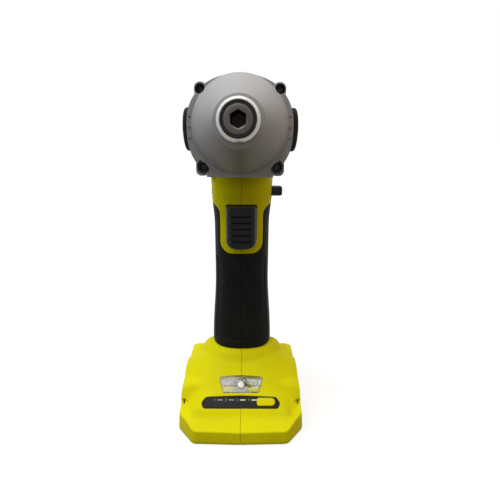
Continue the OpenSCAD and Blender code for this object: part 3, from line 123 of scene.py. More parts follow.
# Handle, from the rim on the foot up to the head
BASE_Z, WAIST_LOW, WAIST_HIGH, NECK_Z, JOIN_Z = 39.5, 95.0, 128.0, 152.0, 168.0
BASE_W, WAIST_W, NECK_W = 42.6, 37.5, 41.0
BASE_DEPTH, NECK_DEPTH, HANDLE_LEAN = 43.0, 47.0, -5.5
HANDLE_POWER = 2.5
GRIP_T = 1.8
GRIP_TOP = node_box("grip_left")[1].z
BEZEL_HALF_W, BEZEL_LOW, BEZEL_R, BEZEL_FLARE, BEZEL_BACK = 14.0, 111.2, 7.2, 7.0, -12.0
TRIGGER_ROUND, TRIGGER_TOP_ROUND, TRIGGER_WALL = 4.1, 1.2, 2.4
GROOVE_COUNT, GROOVE_FROM, GROOVE_PITCH, GROOVE_HALF_W = 5, 4.6, 3.9, 0.65
FILLET_Z, FILLET_R = 153.0, 13.0

# Foot
FOOT_HALF_W = HOUSING_HIGH.x
FOOT_FRONT, FOOT_REAR, FOOT_LIP = HOUSING_LOW.y, 28.0, 8.0
CORNER_W, CORNER_L, FOOT_BOW = 11.0, 15.5, 1.0
SHOULDER_Z, SHOULDER_FRONT, SHOULDER_REAR = 23.5, -40.0, 20.0
SLOPE_Y, SLOPE_Z, SLOPE_TILT, SLOPE_TOP = -57.6, 14.8, 33.0, 37.6
SHOULDER_FALL, STEP_FALL = 1.5, 1.15
RIM_START, RIM_END, RIM_DROP = -12.0, 21.5, 9.5
APRON_Y, APRON_Z = -61.0, 11.4
DOME_SIDE, DOME_REAR, DOME_FRONT, DOME_DROP = 10.5, 3.2, 9.0, 19.0
PANEL_FROM, PANEL_HALF_W, PANEL_L, PANEL_T = 1.6, 25.75, 8.6, 2.0
LENS_FROM, LENS_TOP_W, LENS_LOW_W, LENS_L, LENS_T = 12.0, 29.5, 24.0, 12.4, 3.0
LED_ALONG = 18.7
TRAY_FLOOR = -4.15
NUMBER_ALONG = 7.3
NUMBER_PLACES = ((-17.15, "1"), (-9.75, "2"), (-2.35, "3"), (5.05, "4"))
BUTTON_X, BUTTON_W, BUTTON_L = 16.4, 11.4, 4.8
SOCKET_HALF_W, SOCKET_HALF_L, SOCKET_DEPTH, SOCKET_POWER = 12.6, 15.2, 70.0, 2.8
HOUSING_SCREWS = [(10.0, 161.5, 12.0), (-22.0, 160.5, 12.0), (-3.0, 95.0, 10.0), (-34.0, 9.0, 16.3),
                  (21.0, 9.0, 16.3)]
GRIP_SCREW = HOUSING_SCREWS[2]
SCREW_RECESS_R = 3.3
# Hollows in the sides of the foot: middle x, y, z, then half sizes across, along and up
SCOOPS = ((42.4, -38, 19.4, 2.7, 8.0, 6.0), (39.0, -46.4, 13.9, 3.4, 2.2, 2.2))
# The halves stand apart by the parting gap at the front and meet on the sole and at the rear
JOINT_SLIT, JOINT_REAR, JOINT_SOLE = 0.01, 14.3, 1.4

# Studio
FLOOR_SIZE, FLOOR_DROP = 40.0, 0.0002
FLOOR_GLOW, FLOOR_GLOW_SHARE, FLOOR_BOUNCE = 1.06, 0.72, (0.07, 0.06, 0.05, 1)
SKY_LEVEL = 0.27
# Lamps: name, aim, spread in degrees, power, tint
LAMPS = (("key_light", (0.14, 0.06, -1.0), 50.0, 2.4, (1, 1, 1)),
         ("left_light", (1.0, 0.3, -0.8), 60.0, 0.8, (1, 1, 1)),
         ("right_light", (-1.0, 0.3, -0.7), 60.0, 0.65, (1, 0.7, 0.45)))
CAMERA_PLACE, CAMERA_LENS, SENSOR_W = (3.939, -281.02, 179.129), 28.8, 36.0
CAMERA_PITCH, CAMERA_YAW, CAMERA_ROLL = 14.396, 0.378, 0.34


class DriverSizes(bpy.types.PropertyGroup):
    """Sizes of the details that the solids leave plain."""

    knurl_teeth: IntProperty(
        name="Knurl teeth", description="Teeth round the sleeve collar", default=64, min=24, max=120)
    knurl_depth: FloatProperty(
        name="Knurl depth", description="Depth of the collar's teeth", default=0.35 * MM, unit="LENGTH")
    rib_pitch: FloatProperty(
        name="Grip rib pitch", description="Spacing of the ribs on the grip", default=2.0 * MM, unit="LENGTH")
    rib_depth: FloatProperty(
        name="Grip rib depth", description="Depth of the grooves on the grip", default=0.45 * MM, unit="LENGTH")
    trigger_groove: FloatProperty(
        name="Trigger groove", description="Depth of the trigger's grooves", default=0.5 * MM, unit="LENGTH")
    parting_gap: FloatProperty(
        name="Parting gap", description="Gap between the two halves of the shell", default=0.2 * MM, unit="LENGTH")


class DriverColours(bpy.types.PropertyGroup):
    """Colours of the finishes, as linear values."""

    lime: FloatVectorProperty(
        name="Lime plastic", description="Housing and mode button", subtype="COLOR", default=(0.70, 0.66, 0.004))
    rubber: FloatVectorProperty(
        name="Rubber", description="Grip skins and bumpers", subtype="COLOR", default=(0.017, 0.017, 0.0175))
    case: FloatVectorProperty(
        name="Case metal", description="Painted hammer case", subtype="COLOR", default=(0.39, 0.39, 0.395))
    collar: FloatVectorProperty(
        name="Collar steel", description="Plated sleeve collar", subtype="COLOR", default=(0.75, 0.75, 0.74))
    anvil: FloatVectorProperty(
        name="Anvil steel", description="Phosphated anvil", subtype="COLOR", default=(0.085, 0.076, 0.07))
    plastic: FloatVectorProperty(
        name="Black plastic", description="Trigger, shuttle and panel", subtype="COLOR",
        default=(0.006, 0.006, 0.0064))


# Outlines and sections


def mix(first, second, share):
    return first + (second - first) * share


def ease(share):
    share = min(max(share, 0.0), 1.0)
    return (1 - math.cos(math.pi * share)) / 2


def higher(first, second, reach):
    """The greater of two heights, with a fillet where they cross."""
    near = max(reach - abs(first - second), 0.0) / reach
    return max(first, second) + near * near * reach / 4


def lower(first, second, reach):
    """The lesser of two heights, with a round where they cross."""
    return -higher(-first, -second, reach)


def circle(count):
    """Even turns round a circle."""
    return [2 * math.pi * i / count for i in range(count)]


def bent(value, power):
    return math.copysign(abs(value) ** (2 / power), value)


def oval(half_w, high, low, high_power, low_power, count=96):
    """Squared oval about the origin, as (across, up) points."""
    points = []
    for angle in circle(count):
        across, up = math.cos(angle), math.sin(angle)
        power = high_power if up >= 0 else low_power
        points.append((half_w * bent(across, power), (high if up >= 0 else low) * bent(up, power)))
    return points


def rounded(corners, radii, steps=8):
    """Outline through the corners, each rounded to its own radius."""
    points = []
    for i, corner in enumerate(corners):
        here = Vector(corner)
        back = Vector(corners[i - 1]) - here
        ahead = Vector(corners[(i + 1) % len(corners)]) - here
        if radii[i] <= 0:
            points.append((here.x, here.y))
            continue
        half = back.angle(ahead) / 2
        middle = here + (back.normalized() + ahead.normalized()).normalized() * (radii[i] / math.sin(half))
        start = here + back.normalized() * (radii[i] / math.tan(half)) - middle
        end = here + ahead.normalized() * (radii[i] / math.tan(half)) - middle
        turn = math.atan2(start.x * end.y - start.y * end.x, start.dot(end))
        for k in range(steps + 1):
            angle = turn * k / steps
            points.append((middle.x + start.x * math.cos(angle) - start.y * math.sin(angle),
                           middle.y + start.x * math.sin(angle) + start.y * math.cos(angle)))
    return points


def respaced(points, count):
    """The same closed outline with evenly spaced points."""
    loop = [Vector(point) for point in points] + [Vector(points[0])]
    lengths = [(b - a).length for a, b in zip(loop, loop[1:])]
    total, spaced, edge, gone = sum(lengths), [], 0, 0.0
    for i in range(count):
        target = total * i / count
        while gone + lengths[edge] < target:
            gone += lengths[edge]
            edge += 1
        share = (target - gone) / lengths[edge] if lengths[edge] else 0.0
        point = loop[edge].lerp(loop[edge + 1], share)
        spaced.append((point.x, point.y))
    return spaced


def grown(points, amount):
    """Outline moved out, or in, along its own normals."""
    moved = []
    count = len(points)
    area = sum(points[i - 1][0] * points[i][1] - points[i][0] * points[i - 1][1] for i in range(count))
    for i in range(count):
        run = Vector(points[(i + 1) % count]) - Vector(points[i - 1])
        out = Vector((run.y, -run.x)).normalized() * math.copysign(amount, area)
        moved.append((points[i][0] + out.x, points[i][1] + out.y))
    return moved


# Making and finishing meshes


def begin():
    """Object mode with nothing selected."""
    if bpy.context.mode != "OBJECT":
        bpy.ops.object.mode_set(mode="OBJECT")
    bpy.ops.object.select_all(action="DESELECT")


def pick(piece):
    begin()
    piece.select_set(True)
    bpy.context.view_layer.objects.active = piece


def loft(name, rings, tube=False):
    """Skin drawn through rings of points, capped at both ends or joined round as a tube."""
    begin()
    count, steps = len(rings[0]), len(rings) - 1
    bpy.ops.mesh.primitive_cylinder_add(vertices=count, radius=1.0, depth=steps, end_fill_type="NGON")
    piece = bpy.context.object
    piece.name = piece.data.name = name
    bpy.ops.object.mode_set(mode="EDIT")
    bpy.ops.mesh.select_mode(type="EDGE")
    bpy.ops.mesh.select_all(action="DESELECT")
    skin = bmesh.from_edit_mesh(piece.data)
    for edge in skin.edges:
        edge.select_set(abs(edge.verts[0].co.z - edge.verts[1].co.z) > 0.5)
    bmesh.update_edit_mesh(piece.data)
    if steps > 1:
        bpy.ops.mesh.subdivide(number_cuts=steps - 1)
    skin = bmesh.from_edit_mesh(piece.data)
    for vert in skin.verts:
        number = round(vert.co.z + steps / 2)
        place = round(math.atan2(vert.co.x, vert.co.y) / (2 * math.pi) * count) % count
        vert.co = Vector(rings[number][place]) * MM
    skin.normal_update()
    bmesh.update_edit_mesh(piece.data)
    if tube:
        bpy.ops.mesh.select_all(action="DESELECT")
        skin = bmesh.from_edit_mesh(piece.data)
        for face in skin.faces:
            face.select_set(len(face.verts) == count)
        bmesh.update_edit_mesh(piece.data)
        bpy.ops.mesh.delete(type="ONLY_FACE")
        bpy.ops.mesh.select_non_manifold()
        bpy.ops.mesh.bridge_edge_loops()
    bpy.ops.mesh.select_all(action="SELECT")
    bpy.ops.mesh.normals_make_consistent(inside=False)
    bpy.ops.object.mode_set(mode="OBJECT")
    return piece


def lathe(name, profile, count=128, tube=False, wave=None):
    """Turned form about the drive axis from (radius, y) points, with an optional change of radius by angle."""
    rings = []
    for number, (radius, y) in enumerate(profile):
        ring = []
        for angle in circle(count):
            reach = radius - (wave(number, angle) if wave else 0.0)
            ring.append((reach * math.cos(angle), y, AXIS + reach * math.sin(angle)))
        rings.append(ring)
    return loft(name, rings, tube)


def prism(name, outline, place, low, high, taper=0.0):
    """Outline drawn out between two depths, where place turns (across, along, depth) into a point."""
    far = grown(outline, -taper) if taper else outline
    return loft(name, [[place(a, b, low) for a, b in outline], [place(a, b, high) for a, b in far]])


def facing_front(across, up, depth):
    return (across, depth, up)


def facing_side(along, up, depth):
    return (depth, along, up)


def facing_up(across, along, height):
    return (across, along, height)


def on_slope(across, along, out):
    """Point on the foot's sloping face: along it from its front edge, and out from it."""
    tilt = math.radians(SLOPE_TILT)
    return (across,
            SLOPE_Y + along * math.cos(tilt) - out * math.sin(tilt),
            SLOPE_Z + along * math.sin(tilt) + out * math.cos(tilt))


def box(name, low, high):
    outline = [(low[0], low[1]), (high[0], low[1]), (high[0], high[1]), (low[0], high[1])]
    return prism(name, outline, facing_up, low[2], high[2])


def rod(name, start, end, radius, count=48):
    """Round bar from one point to another."""
    start, end = Vector(start), Vector(end)
    aim = (end - start).normalized()
    side = aim.orthogonal().normalized()
    up = aim.cross(side)
    rings = [[tuple(at + side * (radius * math.cos(a)) + up * (radius * math.sin(a))) for a in circle(count)]
             for at in (start, end)]
    return loft(name, rings)


def together(pieces):
    """Several meshes as one object."""
    begin()
    for piece in pieces:
        piece.select_set(True)
    bpy.context.view_layer.objects.active = pieces[0]
    bpy.ops.object.join()
    return pieces[0]


def carve(piece, tools, way="DIFFERENCE"):
    """Cut, join or keep by each tool in turn, and put the tools away."""
    for tool in tools:
        pick(piece)
        bpy.ops.object.modifier_add(type="BOOLEAN")
        step = piece.modifiers[-1]
        step.operation, step.solver, step.object = way, "EXACT", tool
        bpy.ops.object.modifier_apply(modifier=step.name)
        bpy.ops.object.mode_set(mode="EDIT")
        bpy.ops.mesh.select_all(action="SELECT")
        bpy.ops.mesh.remove_doubles(threshold=0.002 * MM)
        bpy.ops.mesh.dissolve_degenerate(threshold=0.002 * MM)
        bpy.ops.object.mode_set(mode="OBJECT")
        pick(tool)
        bpy.ops.object.delete()
    if not piece.data.polygons:
        raise RuntimeError(piece.name + " was left with no faces")
    return piece


def soften(piece, width, steps=2, angle=35.0):
    """Round the sharp edges."""
    pick(piece)
    bpy.ops.object.modifier_add(type="BEVEL")
    step = piece.modifiers[-1]
    step.width, step.segments = width * MM, steps
    step.limit_method, step.angle_limit = "ANGLE", math.radians(angle)
    step.use_clamp_overlap = True
    bpy.ops.object.modifier_apply(modifier=step.name)
    return piece


def smooth(piece, angle=32.0):
    pick(piece)
    bpy.ops.object.shade_smooth_by_angle(angle=math.radians(angle))
    return piece


def twin(piece, name):
    """A copy with its own mesh."""
    pick(piece)
    bpy.ops.object.duplicate()
    copy = bpy.context.object
    copy.name = copy.data.name = name
    return copy


def mirrored(piece, name):
    """The same piece on the other side of the parting plane."""
    copy = twin(piece, name)
    bpy.ops.object.mode_set(mode="EDIT")
    bpy.ops.mesh.select_all(action="SELECT")
    bpy.ops.transform.mirror(constraint_axis=(True, False, False), center_override=(0, 0, 0))
    bpy.ops.mesh.normals_make_consistent(inside=False)
    bpy.ops.object.mode_set(mode="OBJECT")
    return copy


def settle(piece, body, slot, material, *nodes):
    """Finish a piece, put it on its body and let it stand for its nodes."""
    piece.data.materials.clear()
    piece.data.materials.append(material)
    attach(piece, body)
    if nodes:
        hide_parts(*nodes)
    return piece


# Finishes


def finish(name, colour, rough, metal=0.0, drift=0.06, grain=1500.0, relief=0.15, swing=0.08, shine=0.5,
           stretch=(1, 1, 1)):
    """Surface with uneven tone, uneven gloss and a fine moulded or machined grain."""
    if name in bpy.data.materials:
        return bpy.data.materials[name]
    material = bpy.data.materials.new(name)
    material.use_nodes = True
    nodes, links = material.node_tree.nodes, material.node_tree.links
    shader = nodes["Principled BSDF"]
    shader.inputs["Metallic"].default_value = metal
    shader.inputs["Specular IOR Level"].default_value = shine
    place = nodes.new("ShaderNodeTexCoord")
    mapping = nodes.new("ShaderNodeMapping")
    mapping.inputs["Scale"].default_value = stretch
    links.new(place.outputs["Object"], mapping.inputs["Vector"])
    cloud = nodes.new("ShaderNodeTexNoise")
    cloud.inputs["Scale"].default_value = 55.0
    cloud.inputs["Detail"].default_value = 4.0
    links.new(mapping.outputs["Vector"], cloud.inputs["Vector"])
    tone = nodes.new("ShaderNodeValToRGB")
    tone.color_ramp.elements[0].position, tone.color_ramp.elements[1].position = 0.3, 0.7
    tone.color_ramp.elements[0].color = [part * (1 - drift) for part in colour] + [1]
    tone.color_ramp.elements[1].color = [min(part * (1 + drift), 1) for part in colour] + [1]
    links.new(cloud.outputs["Fac"], tone.inputs["Fac"])
    links.new(tone.outputs["Color"], shader.inputs["Base Color"])
    speck = nodes.new("ShaderNodeTexNoise")
    speck.inputs["Scale"].default_value = grain
    speck.inputs["Detail"].default_value = 3.0
    links.new(mapping.outputs["Vector"], speck.inputs["Vector"])
    gloss = nodes.new("ShaderNodeMapRange")
    gloss.inputs["To Min"].default_value = max(rough - swing, 0.02)
    gloss.inputs["To Max"].default_value = min(rough + swing, 1.0)
    links.new(speck.outputs["Fac"], gloss.inputs["Value"])
    links.new(gloss.outputs["Result"], shader.inputs["Roughness"])
    bump = nodes.new("ShaderNodeBump")
    bump.inputs["Strength"].default_value = relief
    bump.inputs["Distance"].default_value = 0.15 * MM
    links.new(speck.outputs["Fac"], bump.inputs["Height"])
    links.new(bump.outputs["Normal"], shader.inputs["Normal"])
    return material


def blend_in(material, share, colour):
    """Mix a second colour into a finish where the share is one."""
    nodes, links = material.node_tree.nodes, material.node_tree.links
    base = nodes["Principled BSDF"].inputs["Base Color"]
    tone = base.links[0].from_socket
    both = nodes.new("ShaderNodeMix")
    both.data_type = "RGBA"
    links.new(share, both.inputs["Factor"])
    links.new(tone, both.inputs["A"])
    both.inputs["B"].default_value = (*colour, 1)
    links.new(both.outputs["Result"], base)


def lime_plastic():
    return finish("lime_plastic", bpy.context.scene.driver_colours.lime, 0.42, drift=0.035, relief=0.12, shine=0.03)


def grip_rubber():
    return finish("ribbed_rubber", bpy.context.scene.driver_colours.rubber, 0.55, drift=0.2, grain=2200, relief=0.25,
                  shine=0.03)


def bumper_rubber():
    return finish("pad_rubber", bpy.context.scene.driver_colours.rubber, 0.6, drift=0.2, grain=1800, relief=0.3,
                  shine=0.08)


def case_paint():
    return finish("case_paint", bpy.context.scene.driver_colours.case, 0.45, drift=0.04, grain=2600,
                  relief=0.1, shine=0.1)


def plated_steel():
    return finish("plated_steel", bpy.context.scene.driver_colours.collar, 0.26, metal=0.25, drift=0.05, grain=1200,
                  relief=0.05, stretch=(1, 0.1, 1))


def phosphated_steel():
    """Dull steel with painted shade: its colour turns near black inside the hex socket, where shade falls."""
    material = finish("phosphated_steel", bpy.context.scene.driver_colours.anvil, 0.38, metal=0.5, drift=0.12,
                      grain=1900, relief=0.12)
    nodes, links = material.node_tree.nodes, material.node_tree.links
    place = nodes.new("ShaderNodeTexCoord")
    radial = nodes.new("ShaderNodeVectorMath")
    radial.operation = "MULTIPLY_ADD"
    radial.inputs[1].default_value, radial.inputs[2].default_value = (1, 0, 1), (0, 0, -AXIS * MM)
    links.new(place.outputs["Object"], radial.inputs[0])
    reach = nodes.new("ShaderNodeVectorMath")
    reach.operation = "LENGTH"
    links.new(radial.outputs["Vector"], reach.inputs[0])
    parts = nodes.new("ShaderNodeSeparateXYZ")
    links.new(place.outputs["Object"], parts.inputs["Vector"])
    # Mask for the painted shade: close to the drive axis and deeper than the anvil's tip
    tests = []
    for socket, way, limit in ((reach.outputs["Value"], "LESS_THAN", 4.2),
                               (parts.outputs["Y"], "GREATER_THAN", ANVIL_LOW.y + 0.9)):
        test = nodes.new("ShaderNodeMath")
        test.operation = way
        test.inputs[1].default_value = limit * MM
        links.new(socket, test.inputs[0])
        tests.append(test.outputs["Value"])
    inside = nodes.new("ShaderNodeMath")
    inside.operation = "MULTIPLY"
    links.new(tests[0], inside.inputs[0])
    links.new(tests[1], inside.inputs[1])
    # Painted shade: a near-black colour stands in for the shade down inside the hex socket
    blend_in(material, inside.outputs["Value"], (0.012, 0.011, 0.010))
    return material


def black_plastic():
    return finish("moulded_black", bpy.context.scene.driver_colours.plastic, 0.34, drift=0.15, grain=1700, relief=0.1,
                  shine=0.14)


def black_steel():
    return finish("black_steel", (0.02, 0.02, 0.021), 0.4, metal=0.6, drift=0.2, relief=0.08)


def spring_wire():
    return finish("spring_wire", (0.33, 0.33, 0.34), 0.3, metal=1.0, drift=0.12)


def clear_plastic():
    """Clear moulding with faint flow marks."""
    material = finish("clear_plastic", (0.95, 0.95, 0.93), 0.07, drift=0.02, grain=300, relief=0.03, swing=0.03)
    shader = material.node_tree.nodes["Principled BSDF"]
    shader.inputs["Transmission Weight"].default_value = 1.0
    shader.inputs["IOR"].default_value = 1.49
    return material


# Forms of the shell


def handle_half_width(z):
    if z < WAIST_LOW:
        return mix(BASE_W, WAIST_W, ease((z - BASE_Z) / (WAIST_LOW - BASE_Z))) / 2
    return mix(WAIST_W, NECK_W, ease((z - WAIST_HIGH) / (NECK_Z - WAIST_HIGH))) / 2


def handle_ring(z, inset=0.0, count=96, relief=None):
    """Level section of the handle, which swells forward and back under the head."""
    share = (z - BASE_Z) / (NECK_Z - BASE_Z)
    rise = min(max(z - FILLET_Z, 0.0), FILLET_R * 0.95)
    swell = FILLET_R - math.sqrt(FILLET_R ** 2 - rise ** 2)
    half_w = handle_half_width(z) - inset + 0.12 * swell
    half_l = mix(BASE_DEPTH, NECK_DEPTH, share) / 2 - inset + swell
    ring = []
    for i, (x, y) in enumerate(oval(half_w, half_l, half_l, HANDLE_POWER, HANDLE_POWER, count)):
        sink = relief(z, 2 * math.pi * i / count) if relief else 0.0
        ring.append((x * (1 - sink / half_w), HANDLE_LEAN * share + y * (1 - sink / half_l), z))
    return ring


def levels(low, high, step):
    count = max(int(round((high - low) / step)), 1)
    return [mix(low, high, i / count) for i in range(count + 1)]


def head_form(name, inset=0.0, front=FLANGE_BACK, count=128):
    """Head of the shell with its domed rear end."""
    rear = HEAD_END - inset
    stations = levels(front, rear - 18, 6) + [rear - 18 * (1 - share) for share in
                                              (0.15, 0.3, 0.45, 0.58, 0.7, 0.8, 0.88, 0.94, 0.98, 1.0)]
    rings = []
    for y in stations:
        share = min(max((y - (rear - 18)) / 18, 0.0), 1.0)
        scale = 0.66 + 0.34 * (1 - share ** 2.6) ** 0.55
        rings.append([(x * scale, y, AXIS + z * scale) for x, z in
                      oval(HEAD_HALF_W - inset, HEAD_UP - inset, HEAD_DOWN - inset, HEAD_POWER, HEAD_LOW_POWER, count)])
    return loft(name, rings)


def bezel_outline(gap=0.0):
    """Front view of the trigger's bezel, which opens out to the neck at its top."""
    half_w, low = BEZEL_HALF_W + gap, BEZEL_LOW - gap
    half = [(half_w - BEZEL_R + BEZEL_R * math.sin(a), low + BEZEL_R - BEZEL_R * math.cos(a))
            for a in [math.radians(9 * k) for k in range(11)]]
    half += [(half_w + BEZEL_FLARE - BEZEL_FLARE * math.cos(a), GRIP_TOP - BEZEL_FLARE + BEZEL_FLARE * math.sin(a))
             for a in [math.radians(10 * k) for k in range(10)]]
    half.append((half_w + BEZEL_FLARE + 12, GRIP_TOP))
    half.append((half_w + BEZEL_FLARE + 12, GRIP_TOP + 2))
    return half + [(-x, z) for x, z in reversed(half)]


def trigger_outline(gap):
    half_w, low, high = TRIGGER_HIGH.x + gap, TRIGGER_LOW.z - gap, TRIGGER_HIGH.z + gap
    return rounded([(-half_w, low), (half_w, low), (half_w, high), (-half_w, high)],
                   [TRIGGER_ROUND + gap] * 2 + [TRIGGER_TOP_ROUND] * 2)


def rim_reach(angle, grow=0.0):
    """Distance from the handle's middle to its base oval at an angle."""
    across = abs(math.cos(angle)) / (BASE_W / 2 + grow)
    along = abs(math.sin(angle)) / (BASE_DEPTH / 2 + grow)
    return (across ** HANDLE_POWER + along ** HANDLE_POWER) ** (-1 / HANDLE_POWER)


def rim_height(y):
    """Height of the rim between grip and foot, which falls towards the rear."""
    return BASE_Z - RIM_DROP * ease((y - RIM_START) / (RIM_END - RIM_START)) ** 1.5


def foot_height(x, y):
    """Top of the foot: apron, shoulders, panel slope and the dome under the handle."""
    side = abs(x)
    apron = FOOT_LIP + (APRON_Z - FOOT_LIP) * min((y - FOOT_FRONT) / (APRON_Y - FOOT_FRONT), 1.0)
    shoulder = lower(SHOULDER_Z, SHOULDER_Z + SHOULDER_FALL * (y - SHOULDER_FRONT), 3.0)
    shoulder = lower(shoulder, SHOULDER_Z - 1.9 * (y - SHOULDER_REAR), 5.0) - 0.06 * max(side - 34.0, 0.0) ** 2
    back = min(max((y - SLOPE_Y) / 14.0, 0.0), 1.0)
    slope = lower(SLOPE_Z + (y - SLOPE_Y) * math.tan(math.radians(SLOPE_TILT)), SLOPE_TOP, 4.0)
    slope = lower(slope, SLOPE_Z + (y - SLOPE_Y) * STEP_FALL, 0.5) - 3.0 * max(y + 10.0, 0.0)
    slope -= mix(1.1, 0.8, back) * higher(side - mix(30.0, 25.0, back), 0.0, mix(1.0, 14.0, back))
    angle = math.atan2(y, x)
    spread = 1 / math.hypot(math.cos(angle) / DOME_SIDE, math.sin(angle) / (DOME_REAR if y > 0 else DOME_FRONT))
    away = (math.hypot(x, y) - rim_reach(angle)) / spread
    fall = min(max((away - 0.1) / 0.9, 0.0), 1.0)
    dome = rim_height(y) - DOME_DROP * (1 - math.sqrt(1 - fall * fall * 0.97)) - 60.0 * max(away - 1.0, 0.0)
    top = higher(apron, shoulder, 2.5)
    top = higher(top, slope, 2.0)
    return min(higher(top, dome, 3.0), rim_height(y))


def foot_outline(count):
    half_w = FOOT_HALF_W
    corners = [(0.0, FOOT_FRONT), (half_w - CORNER_W, FOOT_FRONT + FOOT_BOW), (half_w, FOOT_FRONT + CORNER_L),
               (half_w, FOOT_REAR), (-half_w, FOOT_REAR), (-half_w, FOOT_FRONT + CORNER_L),
               (-half_w + CORNER_W, FOOT_FRONT + FOOT_BOW)]
    return respaced(rounded(corners, [60.0, 5.0, 8.0, 12.0, 12.0, 8.0, 5.0]), count)


def foot_form(name, inset=0.0, count=360, steps=64):
    """Foot from its sole up its walls and over its top to the rim round the handle."""
    outline = foot_outline(count)
    angles = [math.atan2(y, x) for x, y in outline]
    reaches = [math.hypot(x, y) - inset for x, y in outline]

    def ring(pull, height):
        points = []
        for angle, reach in zip(angles, reaches):
            far = reach - pull
            x, y = far * math.cos(angle), far * math.sin(angle)
            edge = foot_height((reach - 2.0) * math.cos(angle), (reach - 2.0) * math.sin(angle)) - inset
            points.append((x, y, height(edge)))
        return points

    base = inset
    rings = [ring(0.9, lambda edge: base), ring(0.25, lambda edge: base + 0.3), ring(0.0, lambda edge: base + 1.0)]
    rings += [ring(0.8 * share, lambda edge, share=share: mix(base + 1.0, edge - 1.2, share))
              for share in (0.25, 0.5, 0.75, 1.0)]
    rings += [ring(0.8 + 1.2 * (1 - math.cos(turn)), lambda edge, turn=turn: edge - 1.2 + 1.2 * math.sin(turn))
              for turn in (math.radians(22.5 * k) for k in (1, 2, 3, 4))]
    for step in range(1, steps + 1):
        share = step / steps
        points = []
        for angle, reach in zip(angles, reaches):
            far = mix(reach - 2.0, rim_reach(angle, 1.3) - inset, share)
            x, y = far * math.cos(angle), far * math.sin(angle)
            outside = foot_height((far + inset) * math.cos(angle), (far + inset) * math.sin(angle))
            points.append((x, y, min(foot_height(x, y), outside) - inset - (0.4 if step == steps else 0.0)))
        rings.append(points)
    for grow, sunk in ((0.9, False), (-GRIP_T - 1.0, False), (-GRIP_T - 1.3, True)):
        points = []
        for angle in angles:
            far = rim_reach(angle, grow - inset)
            x, y = far * math.cos(angle), far * math.sin(angle)
            points.append((x, y, (BASE_Z - 15.3 if sunk else rim_height(y)) - inset))
        rings.append(points)
    return loft(name, rings)


def panel_outline(gap=0.0):
    half = PANEL_HALF_W
    corners = [(-half + 1.6, PANEL_FROM), (half - 1.6, PANEL_FROM), (half, PANEL_FROM + PANEL_L * 0.45),
               (half - 2.6, PANEL_FROM + PANEL_L - 0.9), (0.0, PANEL_FROM + PANEL_L),
               (-half + 2.6, PANEL_FROM + PANEL_L - 0.9), (-half, PANEL_FROM + PANEL_L * 0.45)]
    return grown(rounded(corners, [2.0, 2.0, 2.4, 2.4, 30.0, 2.4, 2.4]), gap)


def lens_outline(gap=0.0):
    half_low, half_top = LENS_LOW_W / 2, LENS_TOP_W / 2
    corners = [(-half_low, LENS_FROM), (half_low, LENS_FROM), (half_top, LENS_FROM + LENS_L - 1.2),
               (0.0, LENS_FROM + LENS_L), (-half_top, LENS_FROM + LENS_L - 1.2)]
    return grown(rounded(corners, [1.6, 1.6, 1.4, 20.0, 1.4]), gap)


def button_outline(gap=0.0):
    half_w, half_l = BUTTON_W / 2, BUTTON_L / 2
    middle = PANEL_FROM + PANEL_L / 2
    corners = [(BUTTON_X - half_w, middle - half_l), (BUTTON_X + half_w, middle - half_l),
               (BUTTON_X + half_w, middle + half_l), (BUTTON_X - half_w, middle + half_l)]
    return grown(rounded(corners, [1.2, half_l - 0.1, half_l - 0.1, 1.2]), gap)


def bumper_outline(gap=0.0):
    low, high = BUMPER_LOW, BUMPER_HIGH
    corners = [(low.y, low.z), (high.y, low.z), (high.y, high.z), (low.y, high.z)]
    return grown(respaced(rounded(corners, [5.2] * 4), 72), gap)


